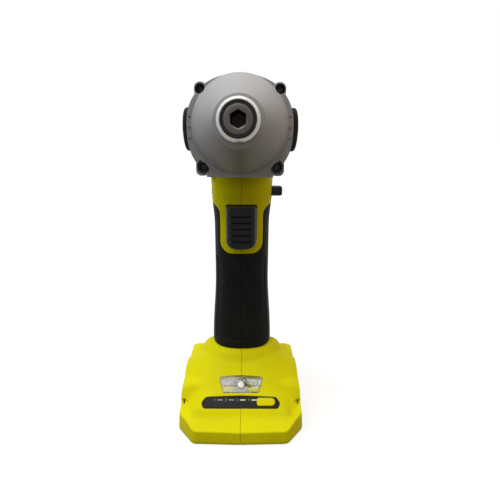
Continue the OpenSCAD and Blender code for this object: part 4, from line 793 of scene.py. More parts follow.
class DRIVER_OT_housing(bpy.types.Operator):
    """Model the two halves of the moulded shell"""

    bl_idname = "driver.housing"
    bl_label = "Housing halves"

    def execute(self, context):
        shell = foot_form("shell")
        core = loft("core", [handle_ring(z, GRIP_T) for z in levels(BASE_Z - 17, GRIP_TOP + 4, 4)])
        neck = loft("neck", [handle_ring(z, 0.0) for z in levels(BEZEL_LOW - 6, FILLET_Z, 2) +
                             levels(FILLET_Z + 1, JOIN_Z, 1)])
        keep = prism("keep", bezel_outline(), facing_front, -70, BEZEL_BACK)
        carve(keep, [box("neck_block", (-60, -70, GRIP_TOP), (60, 60, JOIN_Z + 2))], "UNION")
        carve(neck, [keep], "INTERSECT")
        bosses = []
        for x, z in SCREW_PLACES:
            bosses.append(loft("boss", [[(x * share + r * math.cos(a), y, AXIS + z * share + r * math.sin(a))
                                         for a in circle(40)] for y, r, share in BOSS_STATIONS]))
        carve(shell, [core, neck, head_form("head"), together(bosses)], "UNION")
        hollows = [head_form("head_hollow", WALL, front=-44),
                   rod("barrel_hollow", (0, -80, AXIS), (0, -30, AXIS), BARREL_R + 0.4, 96),
                   loft("handle_hollow", [handle_ring(z, GRIP_T + WALL) for z in levels(12.7, JOIN_Z + 4, 4)]),
                   foot_form("foot_hollow", WALL, 120, 24)]
        carve(shell, hollows)
        tube_wall = oval(SOCKET_HALF_W + WALL, SOCKET_HALF_L + WALL, SOCKET_HALF_L + WALL, SOCKET_POWER, SOCKET_POWER)
        bore = oval(SOCKET_HALF_W, SOCKET_HALF_L, SOCKET_HALF_L, SOCKET_POWER, SOCKET_POWER)
        carve(shell, [prism("socket_tube", tube_wall, facing_up, 1.2, SOCKET_DEPTH)], "UNION")
        cuts = [prism("socket_bore", bore, facing_up, -5, SOCKET_DEPTH + 20),
                prism("trigger_opening", trigger_outline(0.5), facing_front, -70, -14),
                box("shuttle_window", (-45, SHUTTLE_LOW.y - 0.4, SHUTTLE_LOW.z - 0.4),
                    (45, SHUTTLE_HIGH.y + 0.4, SHUTTLE_HIGH.z + 0.4)),
                prism("panel_recess", panel_outline(0.15), on_slope, -PANEL_T - 3, 12),
                prism("lens_recess", lens_outline(0.15), on_slope, -LENS_T - 3, 12)]
        pockets = []
        for side in (-1, 1):
            cuts.append(prism("bumper_recess", bumper_outline(0.1), facing_side, side * 24.2, side * 45))
            for i in range(VENT_COUNT):
                front, back = (VENT_FROM + VENT_PITCH * i + edge for edge in (-VENT_HALF_W, VENT_HALF_W))
                slot = rounded([(front, AXIS + VENT_LOW), (back, AXIS + VENT_LOW), (back, AXIS + VENT_HIGH),
                                (front, AXIS + VENT_HIGH)], [VENT_HALF_W - 0.01] * 4, 4)
                cuts.append(prism("vent", slot, facing_side, side * 19, side * 45))
            for group, (x, y, z, deep, long, tall) in zip((cuts, pockets), SCOOPS):
                group.append(loft("scoop", [
                    [(side * (x + deep * math.cos(lat)), y + long * math.sin(lat) * math.cos(a),
                      z + tall * math.sin(lat) * math.sin(a))
                     for a in circle(48)]
                    for lat in (math.radians(4 + 172 * j / 20) for j in range(21))]))
        for y, z, seat in HOUSING_SCREWS:
            cuts.append(rod("screw_recess", (-seat, y, z), (-60, y, z), SCREW_RECESS_R))
        carve(shell, [together(cuts), together(pockets)])
        gap = context.scene.driver_sizes.parting_gap / MM / 2
        other = twin(shell, "housing_right_shell")
        for half, side in ((shell, 1), (other, -1)):
            near, far = sorted((side * gap, side * 100.0))
            keep = box("half_room", (near, -200, -50), (far, 200, 300))
            near, far = sorted((side * JOINT_SLIT, side * 50.0))
            joint = [(FOOT_FRONT + 1.6, -40), (150, -40), (150, 250), (JOINT_REAR, 250), (JOINT_REAR, JOINT_SOLE),
                     (FOOT_FRONT + 1.6, JOINT_SOLE)]
            carve(keep, [prism("closed_joint", joint, facing_side, near, far)], "UNION")
            carve(half, [keep], "INTERSECT")
        shell.name = shell.data.name = "housing_left_shell"
        for half, node in ((shell, "housing_left"), (other, "housing_right")):
            smooth(half)
            settle(half, "housing", "lime_shell", lime_plastic(), node)
        return {"FINISHED"}


class DRIVER_OT_grips(bpy.types.Operator):
    """Model the ribbed rubber skins of the handle"""

    bl_idname = "driver.grips"
    bl_label = "Grip skins"

    def execute(self, context):
        sizes = context.scene.driver_sizes
        pitch, depth = sizes.rib_pitch / MM, sizes.rib_depth / MM
        low, high = BASE_Z - RIM_DROP - 3.0, GRIP_TOP - 0.15

        def relief(z, angle):
            """Rounded edge on the rim, a plain band, and a sunk ribbed field at the front and back."""
            turn = abs(math.sin(angle))
            rise = z - rim_height(BASE_DEPTH / 2 * bent(math.sin(angle), HANDLE_POWER)) - 0.15
            edge = 0.4 * min(max(1 - rise / 0.7, 0.0), 1.0) ** 2
            field = ease(min((rise - 6.0) / 0.6, (107.5 - z) / 1.2, (turn - 0.5) / 0.05))
            groove = (1 - math.cos(2 * math.pi * (z - BASE_Z) / pitch)) / 2
            bar = 1 - 0.35 * (1 - math.cos(48 * angle)) / 2
            return edge + field * (0.4 + depth * groove * bar)

        rings = [handle_ring(z, 0.0, 192, relief) for z in levels(low, high - 0.4, pitch / 6)]
        rings += [handle_ring(high - 0.15, 0.1, 192), handle_ring(high, 0.3, 192)]
        skin = loft("grip_skin", rings)
        brink = [(y, rim_height(y) + 0.15) for y in levels(-45.0, 45.0, 1.0)] + [(45.0, 0.0), (-45.0, 0.0)]
        carve(skin, [prism("rim_room", brink, facing_side, -60, 60),
                     loft("core_room", [handle_ring(z, GRIP_T - 0.05) for z in levels(low - 4, GRIP_TOP + 4, 4)]),
                     prism("bezel_room", bezel_outline(0.15), facing_front, -70, BEZEL_BACK + 0.15)])
        other = twin(skin, "grip_right_skin")
        carve(skin, [box("left_side", (0.1, -200, -50), (100, 200, 300))], "INTERSECT")
        carve(other, [box("right_side", (-100, -200, -50), (-0.1, 200, 300))], "INTERSECT")
        y, z, seat = GRIP_SCREW
        carve(other, [rod("screw_room", (-seat, y, z), (-60, y, z), SCREW_RECESS_R)])
        skin.name = skin.data.name = "grip_left_skin"
        for half, node in ((skin, "grip_left"), (other, "grip_right")):
            smooth(half, 40)
            settle(half, "housing", "grip_rubber", grip_rubber(), node)
        return {"FINISHED"}


class DRIVER_OT_bumpers(bpy.types.Operator):
    """Model the rubber pads on the sides of the head"""

    bl_idname = "driver.bumpers"
    bl_label = "Side bumpers"

    def execute(self, context):
        middle_y, middle_z = (BUMPER_LOW.y + BUMPER_HIGH.y) / 2, (BUMPER_LOW.z + BUMPER_HIGH.z) / 2
        tall = (BUMPER_HIGH.z - BUMPER_LOW.z) / 2
        outline = bumper_outline()

        def ring(x, scale):
            points = []
            for y, z in outline:
                y, z = middle_y + (y - middle_y) * scale, middle_z + (z - middle_z) * scale
                rise = (z - middle_z) / tall
                fall = 0.9 * rise * rise if x > BUMPER_LOW.x + 2 else 0.0
                points.append((x - fall - (0.5 * max(-rise, 0) if fall else 0), y, z))
            return points

        top = BUMPER_HIGH.x
        rings = [ring(BUMPER_LOW.x, 1.0), ring(top - 1.5, 1.0), ring(top - 0.9, 0.985), ring(top - 0.4, 0.95),
                 ring(top - 0.12, 0.9)]
        rings += [ring(top, scale) for scale in (0.84, 0.7, 0.5, 0.3, 0.1)]
        left = smooth(loft("side_bumper_left_pad", rings), 40)
        right = smooth(mirrored(left, "side_bumper_right_pad"), 40)
        settle(left, "housing", "bumper_rubber", bumper_rubber(), "side_bumper_left")
        settle(right, "housing", "bumper_rubber", bumper_rubber(), "side_bumper_right")
        return {"FINISHED"}


class DRIVER_OT_hammer_case(bpy.types.Operator):
    """Model the cone, flange and screw ears of the hammer case"""

    bl_idname = "driver.hammer_case"
    bl_label = "Hammer case"

    def execute(self, context):
        nose = CASE_LOW.y
        cone = [(0.5, nose), (CONE_NOSE_R - 1.0, nose), (CONE_NOSE_R - 0.35, nose + 0.2), (CONE_NOSE_R, nose + 0.8)]
        for k in range(1, 17):
            share = k / 16
            cone.append((mix(CONE_NOSE_R, CONE_BASE_R, share) + 0.5 * math.sin(math.pi * share),
                         mix(nose + 0.8, FLANGE_Y - 0.2, share)))
        cone += [(CONE_BASE_R + 0.1, FLANGE_Y + 0.5), (CONE_BASE_R - 1, FLANGE_Y + 1.5), (BARREL_R, FLANGE_Y + 2),
                 (BARREL_R, CASE_HIGH.y), (0.5, CASE_HIGH.y)]
        case = lathe("hammer_case_shell", cone, 144)
        flange = oval(FLANGE_HALF_W, FLANGE_UP, FLANGE_DOWN, HEAD_POWER, HEAD_LOW_POWER, 128)
        plate = prism("flange", [(x, AXIS + z) for x, z in flange], facing_front, FLANGE_Y, FLANGE_BACK)
        ears = []
        for side in (-1, 1):
            for (near, far, low, high), turn in ((UPPER_EAR, UPPER_ROUND), (LOWER_EAR, LOWER_ROUND)):
                block = [(side * x, AXIS + z) for x, z in ((near, low), (far, low), (far, high), (near, high))]
                ears.append(prism("ear", rounded(block, [turn] * 4), facing_front, EAR_FRONT, FLANGE_BACK))
        sole = AXIS - FLANGE_DOWN
        ears.append(box("flange_foot", (-FLANGE_FOOT_HALF_W, FLANGE_Y, sole),
                        (FLANGE_FOOT_HALF_W, FLANGE_BACK, sole + FLANGE_FOOT_H)))
        carve(plate, ears, "UNION")
        soften(plate, 0.7, 3, 50)
        carve(case, [plate], "UNION")
        bore = [(0.4, nose - 1), (6.6, nose - 1), (6.6, nose + 1.6), (8.4, nose + 1.7), (8.4, HUB_Y),
                (14.3, HUB_Y + 0.1), (14.3, WING_Y), (BARREL_BORE_R, -72.3),
                (BARREL_BORE_R, CASE_HIGH.y + 1), (0.4, CASE_HIGH.y + 1)]
        cuts = []
        for x, z in SCREW_PLACES:
            cuts.append(rod("screw_room", (x, -100, AXIS + z), (x, FLANGE_Y + SCREW_SEAT, AXIS + z),
                            SCREW_HEAD_R + 0.4, 40))
        pockets = []
        for side in (-1, 1):
            pocket = rounded([(side * x, AXIS + z) for x, z in LOW_POCKET], [0.8] * len(LOW_POCKET), 4)
            pockets.append(prism("pocket", pocket, facing_front, -100, FLANGE_Y + SCREW_SEAT - 0.6))
            for z in DIMPLE_HEIGHTS:
                cuts.append(rod("dimple", (side * DIMPLE_X, FLANGE_Y - 1, AXIS + z),
                                (side * DIMPLE_X, FLANGE_Y + 0.6, AXIS + z), DIMPLE_R, 16))
        carve(case, [lathe("case_bore", bore, 96), together(cuts), together(pockets)])
        smooth(case, 30)
        settle(case, "housing", "case_metal", case_paint(), "hammer_case")
        return {"FINISHED"}


class DRIVER_OT_screws(bpy.types.Operator):
    """Model the screws of the case and of the shell"""

    bl_idname = "driver.screws"
    bl_label = "Screws"

    def execute(self, context):
        def screw(name, seat, aim, head_r, head_t, shank_r, shank):
            seat, aim = Vector(seat), Vector(aim)
            side = aim.orthogonal().normalized()
            up = aim.cross(side)
            profile = [(head_r * 0.55, -head_t), (head_r * 0.85, -head_t * 0.9), (head_r, -head_t * 0.6), (head_r, 0),
                       (shank_r, 0.05)]
            profile += [(shank_r - (0.2 if k % 2 else 0), shank * k / 24) for k in range(1, 24)]
            profile.append((shank_r * 0.5, shank))
            piece = loft(name, [[tuple(seat + aim * along + side * (r * math.cos(a)) + up * (r * math.sin(a)))
                                 for a in circle(36)] for r, along in profile])
            star = [(head_r * (0.52 if i % 2 else 0.4) * math.cos(math.pi * i / 6),
                     head_r * (0.52 if i % 2 else 0.4) * math.sin(math.pi * i / 6)) for i in range(12)]
            drive = loft("drive", [[tuple(seat + aim * along + side * a + up * b) for a, b in star]
                                   for along in (-head_t - 0.5, -head_t * 0.35)])
            return carve(piece, [drive])

        case = [screw("case_screw", (x, FLANGE_Y + SCREW_SEAT, AXIS + z), (0, 1, 0), SCREW_HEAD_R, 2.4, 1.5, 13)
                for x, z in SCREW_PLACES]
        shell = [screw("shell_screw", (-seat, y, z), (1, 0, 0), 2.9, 2.2, 1.5, 14) for y, z, seat in HOUSING_SCREWS]
        for group, node in ((case, "case_screws"), (shell, "housing_screws")):
            piece = smooth(together(group), 35)
            piece.name = piece.data.name = node + "_set"
            settle(piece, "housing", "black_screw", black_steel(), node)
        return {"FINISHED"}


class DRIVER_OT_bit_holder(bpy.types.Operator):
    """Model the knurled sleeve collar and the anvil with its hex socket"""

    bl_idname = "driver.bit_holder"
    bl_label = "Bit holder"

    def execute(self, context):
        sizes = context.scene.driver_sizes
        front, back, reach = COLLAR_LOW.y, COLLAR_HIGH.y, COLLAR_HIGH.x - 0.3
        profile = [(COLLAR_RECESS_R, front + 0.25), (7.7, front), (8.05, front), (8.35, front + 0.25),
                   (8.7, front + 0.9), (9.05, front + 1.7), (reach, front + 2.4), (reach, front + 2.9),
                   (reach, back - 2.2), (reach, back - 1.7), (reach - 0.25, back - 1.3), (reach - 0.3, back - 0.5),
                   (reach - 0.8, back), (RAMP_TOP_R, back), (RAMP_FOOT_R, back - RAMP_L), (LAND_R, back - RAMP_L - 0.3),
                   (LAND_R, front + LAND_FROM), (COLLAR_RECESS_R, front + LAND_FROM)]
        toothed = {6: 0.5, 7: 1.0, 8: 1.0, 9: 0.4}

        def knurl(number, angle):
            wave = (1 + math.cos(sizes.knurl_teeth * angle)) / 2
            return sizes.knurl_depth / MM * toothed.get(number, 0.0) * wave

        collar = smooth(lathe("collar_sleeve", profile, sizes.knurl_teeth * 6, True, knurl), 30)
        settle(collar, "collar", "collar_steel", plated_steel(), "collar")
        tip, wing_end = ANVIL_LOW.y, ANVIL_HIGH.y
        groove_y, groove_end = (front + place for place in RING_GROOVE)
        turned = [(0.5, tip), (ANVIL_R - 1.0, tip), (ANVIL_R - 0.3, tip + 0.35), (ANVIL_R, tip + 1.0),
                  (ANVIL_R, groove_y), (RING_GROOVE_R, groove_y), (RING_GROOVE_R, groove_end), (ANVIL_R, groove_end),
                  (ANVIL_R, HUB_Y - 0.1), (HUB_R, HUB_Y), (HUB_R, wing_end), (0.5, wing_end)]
        anvil = lathe("anvil_shaft", turned, 96)
        carve(anvil, [box("wings", (-ANVIL_HIGH.x, WING_Y, AXIS - WING_HALF_W),
                          (ANVIL_HIGH.x, wing_end - 0.01, AXIS + WING_HALF_W))], "UNION")
        hex_r = HEX_ACROSS / 2 / math.cos(math.pi / 6)
        hexagon = [(hex_r * math.sin(math.pi * k / 3), AXIS + hex_r * math.cos(math.pi * k / 3)) for k in range(6)]
        carve(anvil, [prism("socket", hexagon, facing_front, tip - 2, tip + HEX_DEPTH),
                      lathe("socket_bevel", [(hex_r + 1.9, tip - 1.2), (0.5, tip + 2.6), (0.4, tip + 2.7)], 64)])
        ball_y = back - RAMP_L
        carve(anvil, [rod("ball_hole", (side * 1.0, ball_y, AXIS), (side * 7.0, ball_y, AXIS), BALL_HOLE_R, 32)
                      for side in (-1, 1)])
        smooth(anvil, 28)
        settle(anvil, "anvil", "anvil_steel", phosphated_steel(), "anvil")
        return {"FINISHED"}


class DRIVER_OT_springs(bpy.types.Operator):
    """Wind the springs of the hammer, the collar and the trigger"""

    bl_idname = "driver.springs"
    bl_label = "Springs"

    def execute(self, context):
        for node, body, wire, turns, travel, seat in SPRINGS:
            low, high = node_box(node)
            middle, long = (low + high) / 2, high.y - low.y
            reach = min(high.x - low.x, high.z - low.z) / 2 - wire
            along, steps, rings = Vector((0, 1, 0)), int(turns * 32), []
            for k in range(steps + 1):
                angle = 2 * math.pi * k / 32
                out = Vector((math.cos(angle), 0, math.sin(angle)))
                at = Vector((middle.x, low.y + wire + (long - 2 * wire) * k / steps, middle.z)) + out * reach
                rings.append([tuple(at + out * (wire * math.cos(b)) + along * (wire * math.sin(b)))
                              for b in (math.pi * i / 5 for i in range(10))])
            spring = smooth(loft(node + "_coil", rings), 50)
            settle(spring, body, "spring_steel", spring_wire(), node)
            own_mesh(spring)
        return {"FINISHED"}


class DRIVER_OT_trigger(bpy.types.Operator):
    """Model the grooved trigger"""

    bl_idname = "driver.trigger"
    bl_label = "Trigger"

    def execute(self, context):
        groove = context.scene.driver_sizes.trigger_groove / MM
        low, high, back = TRIGGER_LOW.z, TRIGGER_HIGH.z, TRIGGER_HIGH.y
        front, half_w = TRIGGER_LOW.y, TRIGGER_HIGH.x
        grooves = [low + GROOVE_FROM + GROOVE_PITCH * k for k in range(GROOVE_COUNT)]
        heights = sorted(set(levels(low, low + 5, 0.5) + levels(low + 5, high - 1.5, 0.7)
                             + levels(high - 1.5, high, 0.3)
                             + [g + d for g in grooves for d in (-0.7, -0.45, 0.0, 0.45, 0.7)]))
        rings = []
        for z in heights:
            under, over = max(low + TRIGGER_ROUND - z, 0.0), max(z - (high - TRIGGER_TOP_ROUND), 0.0)
            wide = half_w - (TRIGGER_ROUND - math.sqrt(TRIGGER_ROUND ** 2 - under ** 2))
            wide -= TRIGGER_TOP_ROUND - math.sqrt(max(TRIGGER_TOP_ROUND ** 2 - over ** 2, 0.0))
            share = (high - z) / (high - low)
            bow = (2 * share - 0.9) ** 2
            face = front + 0.2 + 2.2 * (1 - bow) + 0.22 * under + 0.5 * over
            face += groove * max(1 - min(abs(z - g) for g in grooves) / GROOVE_HALF_W, 0.0)
            corner = min(4.0, wide * 0.6)
            outline = rounded([(-wide, back), (-wide, face), (wide, face), (wide, back)],
                              [0.3, corner, corner, 0.3], 10)
            rings.append([(x, y + 0.35 * (x / half_w) ** 2, z) for x, y in outline])
        trigger = loft("trigger_lever", rings)
        carve(trigger, [box("trigger_room", (-half_w + TRIGGER_WALL, front + 7.5, low + TRIGGER_WALL),
                            (half_w - TRIGGER_WALL, back + 5, high - TRIGGER_WALL))])
        smooth(trigger, 40)
        settle(trigger, "trigger", "trigger_plastic", black_plastic(), "trigger")
        return {"FINISHED"}


class DRIVER_OT_shuttle(bpy.types.Operator):
    """Model the sliding direction shuttle"""

    bl_idname = "driver.shuttle"
    bl_label = "Direction shuttle"

    def execute(self, context):
        low, high = SHUTTLE_LOW, SHUTTLE_HIGH
        middle = (low + high) / 2
        half_w, half_h = (high.y - low.y) / 2, (high.z - low.z) / 2
        ends = [(0.0, 0.72), (0.25, 0.84), (0.7, 0.93), (1.4, 0.985), (2.2, 1.0), (2.6, 0.95), (2.9, 0.95), (3.3, 1.0)]
        stations = [(low.x + at, scale) for at, scale in ends] + [(high.x - at, scale) for at, scale in reversed(ends)]
        rings = []
        for x, scale in stations:
            rings.append([(x, middle.y + y * scale, middle.z + z * scale) for y, z in
                          rounded([(-half_w, -half_h), (half_w, -half_h), (half_w, half_h), (-half_w, half_h)],
                                  [2.0, 2.0, 1.4, 1.4])])
        shuttle = loft("direction_shuttle_bar", rings)
        carve(shuttle, [box("lever_slot", (middle.x - 3, middle.y - 3.8, low.z - 3),
                            (middle.x + 3, middle.y + 3.8, middle.z + 0.1))])
        smooth(shuttle, 35)
        settle(shuttle, "shuttle", "black_plastic", black_plastic(), "direction_shuttle")
        return {"FINISHED"}


class DRIVER_OT_work_light(bpy.types.Operator):
    """Model the clear lens over its bright tray and emitter"""

    bl_idname = "driver.work_light"
    bl_label = "Work light"

    def execute(self, context):
        def turned_on_slope(name, profile, count):
            """Round form about the emitter's middle, from (radius, out) points."""
            return loft(name, [[on_slope(r * math.cos(a), LED_ALONG + r * math.sin(a), out) for a in circle(count)]
                               for r, out in profile])

        lens = prism("light_lens_cover", lens_outline(-0.1), on_slope, -1.4, -0.05)
        soften(lens, 0.35, 2, 40)
        smooth(lens, 35)
        settle(lens, "housing", "clear_lens", clear_plastic(), "light_lens")
        top = LENS_FROM + LENS_L
        tray = prism("light_tray", lens_outline(-0.3), on_slope, -4.7, -4.2)
        settle(tray, "housing", "lime_shell", lime_plastic())
        upper = [(-13.0, LED_ALONG + 0.4), (13.0, LED_ALONG + 0.4), (13.9, top - 1.9), (0.0, top - 0.9),
                 (-13.9, top - 1.9)]
        pale = [prism("upper_tray", upper, on_slope, TRAY_FLOOR, -3.4)]
        lower_tray = [(-3.4, LED_ALONG - 2.2), (3.4, LED_ALONG - 2.2), (6.3, LENS_FROM + 0.9), (-6.3, LENS_FROM + 0.9)]
        pale.append(prism("reflector", lower_tray, on_slope, TRAY_FLOOR, -2.2, 0.8))
        for side in (-1, 1):
            for along, thick, near, far in ((0.0, 0.4, 3.5, 13.0), (1.6, 0.15, 5.2, 13.2), (2.7, 0.15, 5.0, 13.4),
                                            (3.8, 0.15, 4.8, 13.6), (-5.4, 0.3, 7.0, 11.2)):
                rib = [(side * near, LED_ALONG + along - thick), (side * far, LED_ALONG + along - thick),
                       (side * far, LED_ALONG + along + thick), (side * near, LED_ALONG + along + thick)]
                pale.append(prism("rib", rib, on_slope, TRAY_FLOOR, -1.7 if along <= 0 else -3.0))
        silver = finish("tray_silver", (0.36, 0.36, 0.31), 0.22, metal=0.2, drift=0.05, relief=0.05)
        reflector = together(pale)
        reflector.name = reflector.data.name = "light_reflector"
        settle(reflector, "housing", "clear_lens", silver)
        block = [(-4.6, LED_ALONG + 2.4), (4.6, LED_ALONG + 2.4), (3.4, top - 2.2), (-3.4, top - 2.2)]
        dark = [prism("emitter_seat", block, on_slope, -3.35, -2.2, 0.4)]
        dark.append(turned_on_slope("emitter_ring", ((3.5, TRAY_FLOOR), (3.5, -2.3), (3.2, -2.0), (2.5, -2.0),
                                                     (2.3, -2.4)), 48))
        smoked = finish("smoked_plastic", (0.10, 0.10, 0.095), 0.25, drift=0.1, relief=0.05)
        holder = together(dark)
        holder.name = holder.data.name = "emitter_holder"
        settle(holder, "housing", "black_plastic", smoked)
        dome = turned_on_slope("emitter_dome", ((2.2, -2.38), (2.1, -2.1), (1.7, -1.8), (1.0, -1.6), (0.3, -1.5)), 40)
        smooth(dome, 60)
        glass = finish("emitter_glass", (0.86, 0.84, 0.70), 0.15, drift=0.08, relief=0.03)
        settle(dome, "housing", "emitter", glass, "light_emitter")
        return {"FINISHED"}


class DRIVER_OT_charge_panel(bpy.types.Operator):
    """Model the charge panel, the numbers over its light bars and the mode button"""

    bl_idname = "driver.charge_panel"
    bl_label = "Charge panel"

    def execute(self, context):
        panel = prism("gauge_panel_plate", panel_outline(), on_slope, -PANEL_T, -0.25)
        soften(panel, 0.3, 2, 40)
        carve(panel, [prism("button_room", button_outline(0.35), on_slope, -5, 5)])
        smooth(panel, 35)
        film = finish("panel_film", (0.016, 0.016, 0.0155), 0.4, drift=0.15, grain=1700, relief=0.1, shine=0.08)
        settle(panel, "housing", "panel_plastic", film, "gauge_panel")
        button = prism("mode_button_cap", button_outline(), on_slope, -2.2, 0.7, 0.25)
        soften(button, 0.4, 3, 40)
        smooth(button, 35)
        settle(button, "button", "lime_button", lime_plastic(), "mode_button")
        numbers = []
        for across, body in NUMBER_PLACES:
            begin()
            bpy.ops.object.text_add()
            number = bpy.context.object
            number.data.body, number.data.size, number.data.extrude = body, 2.6, 0.06
            number.data.align_x, number.data.align_y = "CENTER", "CENTER"
            bpy.ops.object.convert(target="MESH")
            for vert in number.data.vertices:
                x, y, z = vert.co
                vert.co = Vector(on_slope(across + x, NUMBER_ALONG + y, z - 0.25)) * MM
            numbers.append(number)
        print_grey = finish("number_print", (0.20, 0.20, 0.195), 0.5, drift=0.15, relief=0.05)
        numbers = together(numbers)
        numbers.name = numbers.data.name = "gauge_numbers"
        settle(numbers, "housing", "light_bar", print_grey)
        return {"FINISHED"}


class DRIVER_OT_inner_finishes(bpy.types.Operator):
    """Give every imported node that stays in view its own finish"""

    bl_idname = "driver.inner_finishes"
    bl_label = "Inner finishes"

    def execute(self, context):
        kinds = {
            "bronze": ((0.40, 0.23, 0.09), 0.4, 1.0), "steel": ((0.42, 0.42, 0.42), 0.35, 1.0),
            "spring_steel": ((0.33, 0.33, 0.34), 0.3, 1.0), "ball_steel": ((0.66, 0.66, 0.66), 0.12, 1.0),
            "forged_steel": ((0.16, 0.16, 0.165), 0.5, 0.9), "gear_steel": ((0.36, 0.36, 0.37), 0.38, 1.0),
            "can_steel": ((0.34, 0.34, 0.33), 0.42, 1.0), "magnet": ((0.05, 0.05, 0.052), 0.55, 0.2),
            "copper": ((0.66, 0.27, 0.11), 0.3, 1.0), "carbon": ((0.03, 0.03, 0.031), 0.6, 0.1),
            "sink_aluminium": ((0.6, 0.6, 0.61), 0.4, 1.0), "lead_sheath": ((0.25, 0.012, 0.01), 0.5, 0.0),
            "emitter": ((0.85, 0.74, 0.2), 0.3, 0.0), "light_bar": ((0.62, 0.60, 0.33), 0.35, 0.0),
            "board": ((0.015, 0.12, 0.04), 0.45, 0.0), "black_screw": ((0.02, 0.02, 0.021), 0.4, 0.6),
        }
        slots = {row["node"]: row["material_slot"] for row in frame["record"]["subparts"]}
        for name, node in frame["nodes"].items():
            colour, rough, metal = kinds.get(slots.get(name), ((0.012, 0.012, 0.013), 0.45, 0.0))
            material = finish("inner_" + str(slots.get(name, "plastic")), colour, rough, metal=metal, drift=0.12)
            node.data.materials.clear()
            node.data.materials.append(material)
        bars = bpy.data.materials["inner_light_bar"]
        nodes, links = bars.node_tree.nodes, bars.node_tree.links
        parts, dim = nodes.new("ShaderNodeSeparateXYZ"), nodes.new("ShaderNodeMath")
        links.new(nodes.new("ShaderNodeTexCoord").outputs["Object"], parts.inputs["Vector"])
        dim.operation = "LESS_THAN"
        dim.inputs[1].default_value = -3.0 * MM
        links.new(parts.outputs["X"], dim.inputs[0])
        blend_in(bars, dim.outputs["Value"], (0.22, 0.22, 0.20))
        return {"FINISHED"}


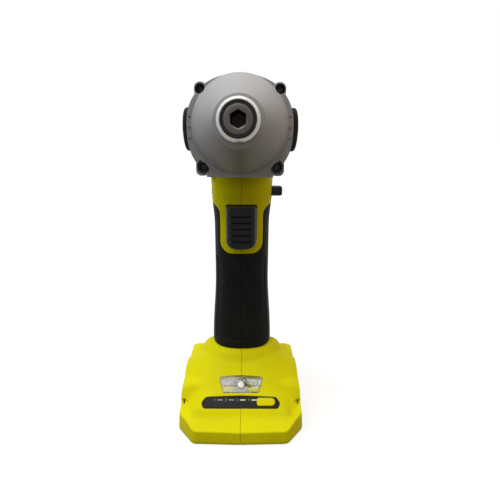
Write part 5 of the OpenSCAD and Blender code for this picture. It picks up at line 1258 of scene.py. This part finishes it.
class DRIVER_OT_stage(bpy.types.Operator):
    """Set the pale floor, the soft studio light and the camera"""

    bl_idname = "driver.stage"
    bl_label = "Stage"

    def seen(self, tree):
        """One where the camera, a gloss or a clear piece looks, and zero for bounced light."""
        path = tree.nodes.new("ShaderNodeLightPath")
        bright = tree.nodes.new("ShaderNodeMath")
        bright.operation = "MAXIMUM"
        tree.links.new(path.outputs["Is Glossy Ray"], bright.inputs[0])
        tree.links.new(path.outputs["Is Transmission Ray"], bright.inputs[1])
        both = tree.nodes.new("ShaderNodeMath")
        both.operation = "MAXIMUM"
        tree.links.new(path.outputs["Is Camera Ray"], both.inputs[0])
        tree.links.new(bright.outputs["Value"], both.inputs[1])
        return both.outputs["Value"]

    def execute(self, context):
        scene = context.scene
        begin()
        bpy.ops.mesh.primitive_plane_add(size=FLOOR_SIZE, location=(0, 0, -FLOOR_DROP))
        floor = bpy.context.object
        floor.name = "studio_floor"
        paper = bpy.data.materials.new("studio_paper")
        paper.use_nodes = True
        nodes, links = paper.node_tree.nodes, paper.node_tree.links
        shadow = nodes["Principled BSDF"]
        shadow.inputs["Base Color"].default_value = (0.9, 0.9, 0.9, 1)
        shadow.inputs["Roughness"].default_value = 0.9
        shadow.inputs["Specular IOR Level"].default_value = 0.0
        glow = nodes.new("ShaderNodeEmission")
        glow.inputs["Strength"].default_value = FLOOR_GLOW
        pale = nodes.new("ShaderNodeMixShader")
        pale.inputs["Fac"].default_value = FLOOR_GLOW_SHARE
        links.new(shadow.outputs["BSDF"], pale.inputs[1])
        links.new(glow.outputs["Emission"], pale.inputs[2])
        bounce = nodes.new("ShaderNodeBsdfDiffuse")
        bounce.inputs["Color"].default_value = FLOOR_BOUNCE
        blend = nodes.new("ShaderNodeMixShader")
        links.new(self.seen(paper.node_tree), blend.inputs["Fac"])
        links.new(bounce.outputs["BSDF"], blend.inputs[1])
        links.new(pale.outputs["Shader"], blend.inputs[2])
        links.new(blend.outputs["Shader"], nodes["Material Output"].inputs["Surface"])
        floor.data.materials.append(paper)

        world = scene.world or bpy.data.worlds.new("studio")
        scene.world = world
        world.use_nodes = True
        nodes, links = world.node_tree.nodes, world.node_tree.links
        sky = nodes["Background"]
        sky.inputs["Color"].default_value = (1, 1, 1, 1)
        level = nodes.new("ShaderNodeMapRange")
        level.inputs["To Min"].default_value = SKY_LEVEL
        level.inputs["To Max"].default_value = 1.0
        links.new(self.seen(world.node_tree), level.inputs["Value"])
        links.new(level.outputs["Result"], sky.inputs["Strength"])

        for name, aim, spread, power, tint in LAMPS:
            begin()
            bpy.ops.object.light_add(type="SUN", location=(0, 0, 1))
            lamp = bpy.context.object
            lamp.name = lamp.data.name = name
            lamp.data.angle, lamp.data.energy, lamp.data.color = math.radians(spread), power, tint
            lamp.rotation_euler = Vector(aim).to_track_quat("-Z", "Y").to_euler()

        begin()
        bpy.ops.object.camera_add(location=Vector(CAMERA_PLACE) * MM)
        camera = bpy.context.object
        camera.name = "studio_camera"
        pitch, yaw, roll = (math.radians(turn) for turn in (CAMERA_PITCH, CAMERA_YAW, CAMERA_ROLL))
        turn = (Matrix.Rotation(-yaw, 3, "Z") @ Matrix.Rotation(math.pi / 2 - pitch, 3, "X")
                @ Matrix.Rotation(roll, 3, "Z"))
        camera.rotation_euler = turn.to_euler()
        camera.data.sensor_width, camera.data.lens = SENSOR_W, CAMERA_LENS
        camera.data.clip_start = 0.01
        scene.camera = camera
        scene.view_settings.view_transform = "Standard"
        return {"FINISHED"}


class DRIVER_PT_pieces(bpy.types.Panel):
    """Steps that make the driver, and the values that they use"""

    bl_idname = "DRIVER_PT_pieces"
    bl_label = "Impact driver"
    bl_space_type = "VIEW_3D"
    bl_region_type = "UI"
    bl_category = "Driver"

    def draw(self, context):
        layout = self.layout
        for group in (context.scene.driver_sizes, context.scene.driver_colours):
            for value in group.__annotations__:
                layout.prop(group, value)
        for step in STEPS:
            layout.operator(step.bl_idname)


STEPS = (DRIVER_OT_stage, DRIVER_OT_housing, DRIVER_OT_grips, DRIVER_OT_bumpers, DRIVER_OT_hammer_case,
         DRIVER_OT_screws, DRIVER_OT_bit_holder, DRIVER_OT_springs, DRIVER_OT_trigger, DRIVER_OT_shuttle,
         DRIVER_OT_work_light, DRIVER_OT_charge_panel, DRIVER_OT_inner_finishes)
CLASSES = (DriverSizes, DriverColours) + STEPS + (DRIVER_PT_pieces,)


def register():
    for part in CLASSES:
        bpy.utils.register_class(part)
    bpy.types.Scene.driver_sizes = PointerProperty(type=DriverSizes)
    bpy.types.Scene.driver_colours = PointerProperty(type=DriverColours)


def unregister():
    del bpy.types.Scene.driver_colours
    del bpy.types.Scene.driver_sizes
    for part in reversed(CLASSES):
        bpy.utils.unregister_class(part)


def main():
    register()
    bpy.ops.driver.stage()
    bpy.ops.driver.housing()
    bpy.ops.driver.grips()
    bpy.ops.driver.bumpers()
    bpy.ops.driver.hammer_case()
    bpy.ops.driver.screws()
    bpy.ops.driver.bit_holder()
    bpy.ops.driver.springs()
    bpy.ops.driver.trigger()
    bpy.ops.driver.shuttle()
    bpy.ops.driver.work_light()
    bpy.ops.driver.charge_panel()
    bpy.ops.driver.inner_finishes()
    begin()


if __name__ == "__main__":
    main()
